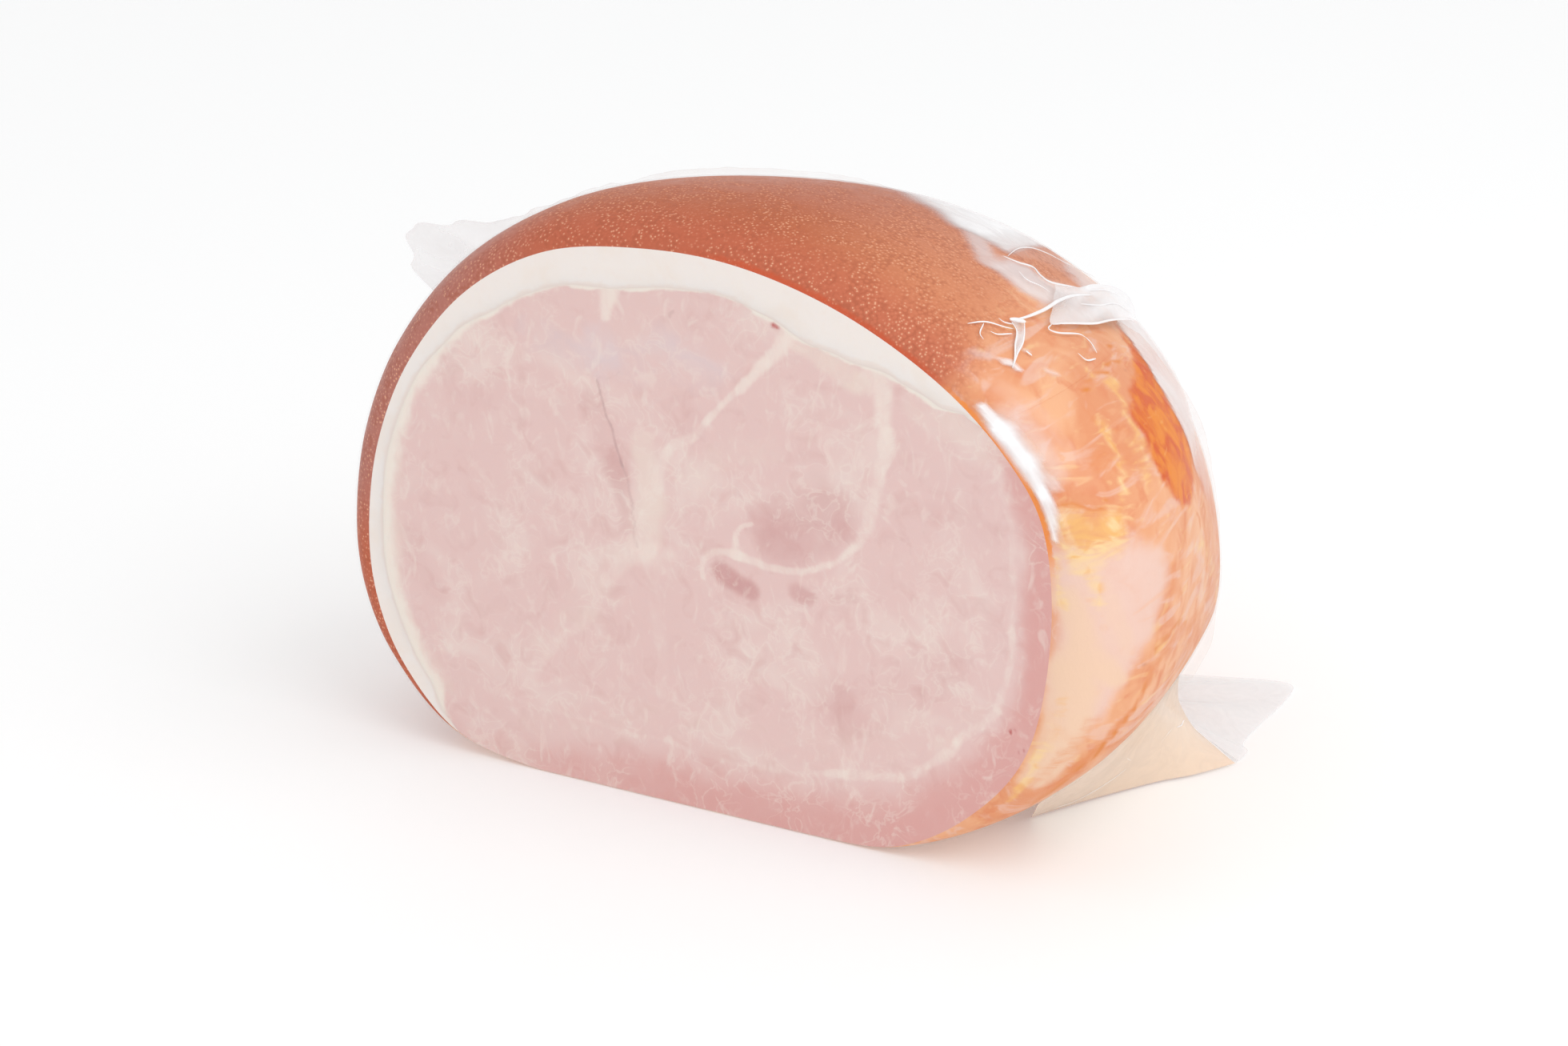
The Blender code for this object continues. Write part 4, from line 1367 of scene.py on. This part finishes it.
def flap_sheet(ripple, first_haze, second_haze, first, second):
    """One sheet of the flap, rippled along its lines and streaked with more and less white."""
    places = ruled(first, second, SHEET_ALONG, SHEET_ACROSS)
    along = np.linspace(0, 1, SHEET_ALONG + 1)[None, :]
    across = np.linspace(0, 1, SHEET_ACROSS + 1)[:, None]
    folds = np.sin(across * 7 + 5 * along) + 0.5 * np.sin(along * 19 + across * 5)
    lift = np.maximum(places[..., 2] + ripple * folds * np.sin(across * math.pi), LEAST_LIFT)
    points = surface_points(places[..., 0].ravel(), places[..., 1].ravel(), lift.ravel())
    haze_and_shine = (first_haze + (second_haze - first_haze) * across) * (1 + SHEET_STREAKS * folds)
    haze_and_shine = haze_and_shine * (SHEET_START + (1 - SHEET_START) * eased(along, 0, 0.35))
    return thin_sheet(points.reshape(*lift.shape, 3), haze_and_shine)


flap = piece("film_flap", joined([flap_sheet(*sheet) for sheet in FLAP_SHEETS]))
print("flap:", count_of(flap), "triangles")

# %% [markdown]
# Where a sheet is rolled over, drawn out or creased, a fine bright strand runs. Its white is partly the
# rolled film and partly a painted highlight along the fold. A strand is a flattened tube along a line of
# places, thin at both ends. Most lie on the flap, and a few more on the tail below.

# %% Strands
FLAP_STRANDS = (
    # half width, and a line of angles, depths and lifts
    (0.32, (
        (50, 61, 0.9), (47.5, 63, 1.2), (45.5, 66, 1.6), (43.5, 63, 1.8), (41.5, 63, 2.1),
        (38.6, 70, 3.7),
    )),
    (0.32, ((36.3, 38, 1.6), (35, 46, 1.8), (33, 58, 2.4), (32, 69, 3.1), (31, 76, 4.2), (30.2, 80, 5.0))),
    (0.26, (
        (36.2, 39, 1.5), (36, 36, 1.2), (35.5, 36, 1.1), (34.5, 39, 1.0), (33, 47, 1.0), (32, 49, 0.9),
    )),
    (0.20, ((32.2, 49, 0.9), (31, 49, 0.8), (29.5, 47, 0.7))),
    (0.48, (
        (39.8, 26, 1.0), (39, 32, 1.3), (38.5, 42, 1.9), (38.5, 53, 2.4), (38, 62, 3.3), (36.6, 71, 4.4),
    )),
    (0.70, ((40, 26.5, 1.0), (39.2, 28.5, 1.2), (38.4, 30.5, 1.1))),
    (0.28, ((39.6, 26, 1.1), (38, 24, 1.0), (36.5, 19, 0.8), (35, 15, 0.7), (34, 12, 0.6))),
    (0.26, ((38.5, 30, 1.1), (37, 25, 1.0), (36, 21, 0.8), (35.3, 17, 0.7), (34.1, 12.4, 0.6))),
    (0.22, ((38.5, 24, 0.9), (39.5, 22, 0.8), (41.5, 19, 0.7), (42.8, 14, 0.6))),
    (0.20, ((41.5, 18, 0.7), (40.6, 14, 0.7), (39.5, 13, 0.6))),
    (0.20, ((38, 22, 0.8), (39, 18, 0.7), (40, 17, 0.6))),
    (0.20, ((39, 26, 0.9), (40, 24, 0.8), (41, 24, 0.7))),
    (0.24, ((31, 38, 0.6), (29.6, 38.6, 0.7), (29, 44, 0.6))),
    (0.26, ((35, 20, 0.7), (34, 20.4, 0.6))),
    (0.16, (
        (49.5, 63, 0.8), (50.4, 78, 0.8), (49.5, 88, 1.0), (47, 93, 1.3), (43, 93, 2.3), (38.4, 89, 5.3),
    )),
    (0.18, ((46, 57, 1.0), (44, 55, 1.0), (42, 57, 1.2), (40.4, 57, 1.4))),
    (0.20, ((36.4, 60, 3.4), (34.8, 68, 4.2), (33.6, 78, 5.6), (31.6, 82, 5.8))),
    (0.18, ((37.4, 72, 4.6), (36, 82, 5.9), (34, 86, 6.7))),
)
STRAND_SIDES = 8
STRAND_STEPS = 40
STRAND_FLATNESS = 0.6
STRAND_POINT = 0.4
STRAND_HAZE_AND_SHINE = 0.85
CREASE_HAZE_AND_SHINE = 0.95
CREASE_STEP = 10


def strand(half_width, line, upward, haze_and_shine=STRAND_HAZE_AND_SHINE):
    """A flattened tube along points in millimetres. Upward says which way its flat side faces."""
    heading = np.gradient(line, axis=0)
    heading /= np.linalg.norm(heading, axis=1)[:, None]
    side = np.cross(heading, upward)
    side /= np.linalg.norm(side, axis=1)[:, None]
    upward = np.cross(side, heading)
    turn = np.linspace(0, 2 * math.pi, STRAND_SIDES + 1)
    width = half_width * np.sin(np.linspace(0, math.pi, len(line))) ** STRAND_POINT
    across = side[:, None] * (np.cos(turn)[None, :, None] * width[:, None, None])
    above = upward[:, None] * (np.sin(turn)[None, :, None] * width[:, None, None] * STRAND_FLATNESS)
    rows = line[:, None] + across + above
    grid = np.ones(rows.shape[:2])
    bm = bent_grid(rows, {"haze_and_shine": haze_and_shine * grid, "meat_reflection": 0 * grid})
    bmesh.ops.remove_doubles(bm, verts=bm.verts, dist=MERGE)
    bmesh.ops.recalc_face_normals(bm, faces=bm.faces)
    return bm


def flap_strand(half_width, line):
    """A strand along a line of angles, depths and lifts."""
    route = smooth_line(line, STRAND_STEPS + 1).T
    points = surface_points(*route)
    return strand(half_width, points, surface_points(route[0], route[1], route[2] + 1) - points)


strands = piece("film_strands", joined([flap_strand(*line) for line in FLAP_STRANDS]))
print("strands:", count_of(strands), "triangles")

# %% [markdown]
# ## The tail on the floor
# At the lower right a wide tail of film leaves the ham and spreads on the floor in two leaves. The front
# leaf carries a painted reflection of the meat, a cream tint, and the back leaf looks grey against the
# white.

# %% Tail form
FRONT_ROOT = ((93, 15, 16), (105, 28, 28), (111, 48, 36), (106, 74, 34), (95, 92, 24), (88, 101, 12))
FRONT_EDGE = ((81, 37, 0.4), (91, 56, 0.4), (101, 73, 0.4), (108, 82, 0.4), (115, 94, 0.4))
BACK_ROOT = ((88, 101, 10), (84, 104, 8), (78, 106, 6), (66, 108, 4), (50, 112, 3))
BACK_EDGE = (
    (115, 96, 0.4), (115, 103, 0.4), (112, 107, 0.4), (111, 118, 0.4), (111, 141, 0.4), (107, 152, 0.4),
    (86, 146, 0.4), (66, 138, 0.4),
)
# The creases' white is partly folded film and partly a painted highlight along each fold.
FRONT_CREASES = (
    # half width, and a line of shares along the leaf and out to its edge
    (0.34, ((0.06, 0.90), (0.17, 0.95), (0.29, 0.88), (0.37, 0.82), (0.47, 0.70))),
    (0.18, ((0.56, 0.65), (0.62, 0.57), (0.68, 0.48))),
    (0.30, ((0.70, 0.54), (0.76, 0.52), (0.82, 0.50))),
    (0.26, ((0.18, 0.26), (0.20, 0.20))),
    (0.22, ((0.09, 0.47), (0.13, 0.28), (0.16, 0.10))),
    (0.20, ((0.21, 0.28), (0.30, 0.50), (0.44, 0.72))),
    (0.26, ((1.00, 0.05), (1.00, 0.35), (1.00, 0.62), (1.00, 0.96))),
)

# %% Leaves and creases of the tail
TAIL_ALONG = 120
TAIL_REACH = 36
TAIL_FOLD = 0.9
TAIL_LOWEST = 0.35
FRONT_HAZE = 0.86
BACK_HAZE = 0.7


def leaf(root, edge, swells):
    """A leaf of film from its root to its edge on the floor, in gentle swells."""
    rows = ruled(root, edge, TAIL_ALONG, TAIL_REACH)
    out = np.linspace(0, 1, TAIL_REACH + 1)[:, None]
    along = np.linspace(0, 1, TAIL_ALONG + 1)[None, :]
    swell = np.sin(along * swells + out * 3) * np.sin(out * math.pi) * np.sin(along * math.pi)
    rows[..., 2] = np.maximum(rows[..., 2] + TAIL_FOLD * swell, TAIL_LOWEST)
    rows[..., 1] += CUT_PLANE
    return rows


def leaf_strand(rows, half_width, line):
    """A crease on a leaf, along a line of shares of it."""
    route = smooth_line(line, STRAND_STEPS + 1)
    at = np.rint(route * (TAIL_ALONG, TAIL_REACH)).astype(int)
    points = rows[at[:, 1], at[:, 0]]
    points = smooth_line(points[::CREASE_STEP], STRAND_STEPS + 1) + (0, 0, FILM_THICKNESS)
    return strand(half_width, points, np.array((0, 0, 1.0)) * np.ones_like(points), haze_and_shine=CREASE_HAZE_AND_SHINE)


front_leaf = leaf(FRONT_ROOT, FRONT_EDGE, 14)
back_leaf = leaf(BACK_ROOT, BACK_EDGE, 19)
tail_parts = [thin_sheet(front_leaf, FRONT_HAZE, 1.0), thin_sheet(back_leaf, BACK_HAZE)]
tail_parts += [leaf_strand(front_leaf, *crease) for crease in FRONT_CREASES]
tail = piece("film_tail", joined(tail_parts))
print("tail:", count_of(tail), "triangles")

# %% [markdown]
# ## Film finish
# A clear film passes most light, mirrors a little, and mirrors much more at a grazing angle. So the
# clear part is a mix of a Transparent and a Glossy shader, and the Facing value of Layer Weight, raised
# to a power, says how much it mirrors. Where the film is whitish, a plain milky shader is mixed in by
# the painted value, and it also whitens the painted highlights. It glows a very little, a painted light
# that keeps its shaded parts pale.

# %% Film finish
FILM_WHITE = tone(247, 246, 247)
# Cream tint: a painted reflection of the meat, full on the tail's front leaf.
MEAT_REFLECTION_TINT = tone(246, 223, 199)
PAINTED_FILM_GLOW = 0.03
LEAST_MIRROR = 0.02
MOST_MIRROR = 0.14
MIRROR_RISE = 6.0


def blended(tree, share, first, second):
    """Two shaders mixed, with more of the second as share grows."""
    blend = tree.nodes.new("ShaderNodeMixShader")
    tree.links.new(share, blend.inputs[0])
    tree.links.new(first.outputs[0], blend.inputs[1])
    tree.links.new(second.outputs[0], blend.inputs[2])
    return blend


clear_film, tree = new_finish("clear_film")
crease = grain(tree, 9, 3, 1.5)
facing = tree.nodes.new("ShaderNodeLayerWeight")
facing.inputs["Blend"].default_value = 0.5
grazing = sums(tree, "POWER", facing.outputs["Facing"], MIRROR_RISE)
mirrored = sums(tree, "MULTIPLY_ADD", grazing, MOST_MIRROR)
mirrored.node.inputs[2].default_value = LEAST_MIRROR
wrinkles = raised(tree, crease, 0.5, 0.2)
clear = tree.nodes.new("ShaderNodeBsdfTransparent")
gloss = tree.nodes.new("ShaderNodeBsdfGlossy")
gloss.inputs["Roughness"].default_value = 0.15
tree.links.new(wrinkles, gloss.inputs["Normal"])
thin_film = blended(tree, mirrored, clear, gloss)
milky_and_shine = tree.nodes["Principled BSDF"]
put(tree, milky_and_shine.inputs["Base Color"], over(tree, FILM_WHITE, MEAT_REFLECTION_TINT, painted(tree, "meat_reflection")))
milky_and_shine.inputs["Roughness"].default_value = 0.25
# Painted glow: the milky film gives off a little light of its own.
milky_and_shine.inputs["Emission Color"].default_value = FILM_WHITE
milky_and_shine.inputs["Emission Strength"].default_value = PAINTED_FILM_GLOW
tree.links.new(wrinkles, milky_and_shine.inputs["Normal"])
uneven = rise(tree, crease, 0.3, 0.7, 0.93, 1.05)
whitish = blended(tree, sums(tree, "MULTIPLY", painted(tree, "haze_and_shine"), uneven), thin_film, milky_and_shine)
tree.links.new(whitish.outputs[0], tree.nodes["Material Output"].inputs["Surface"])
for thing in (film, fin, flap, strands, tail):
    thing.data.materials.append(clear_film)
print("clear film:", len(tree.nodes), "nodes, on 5 pieces")
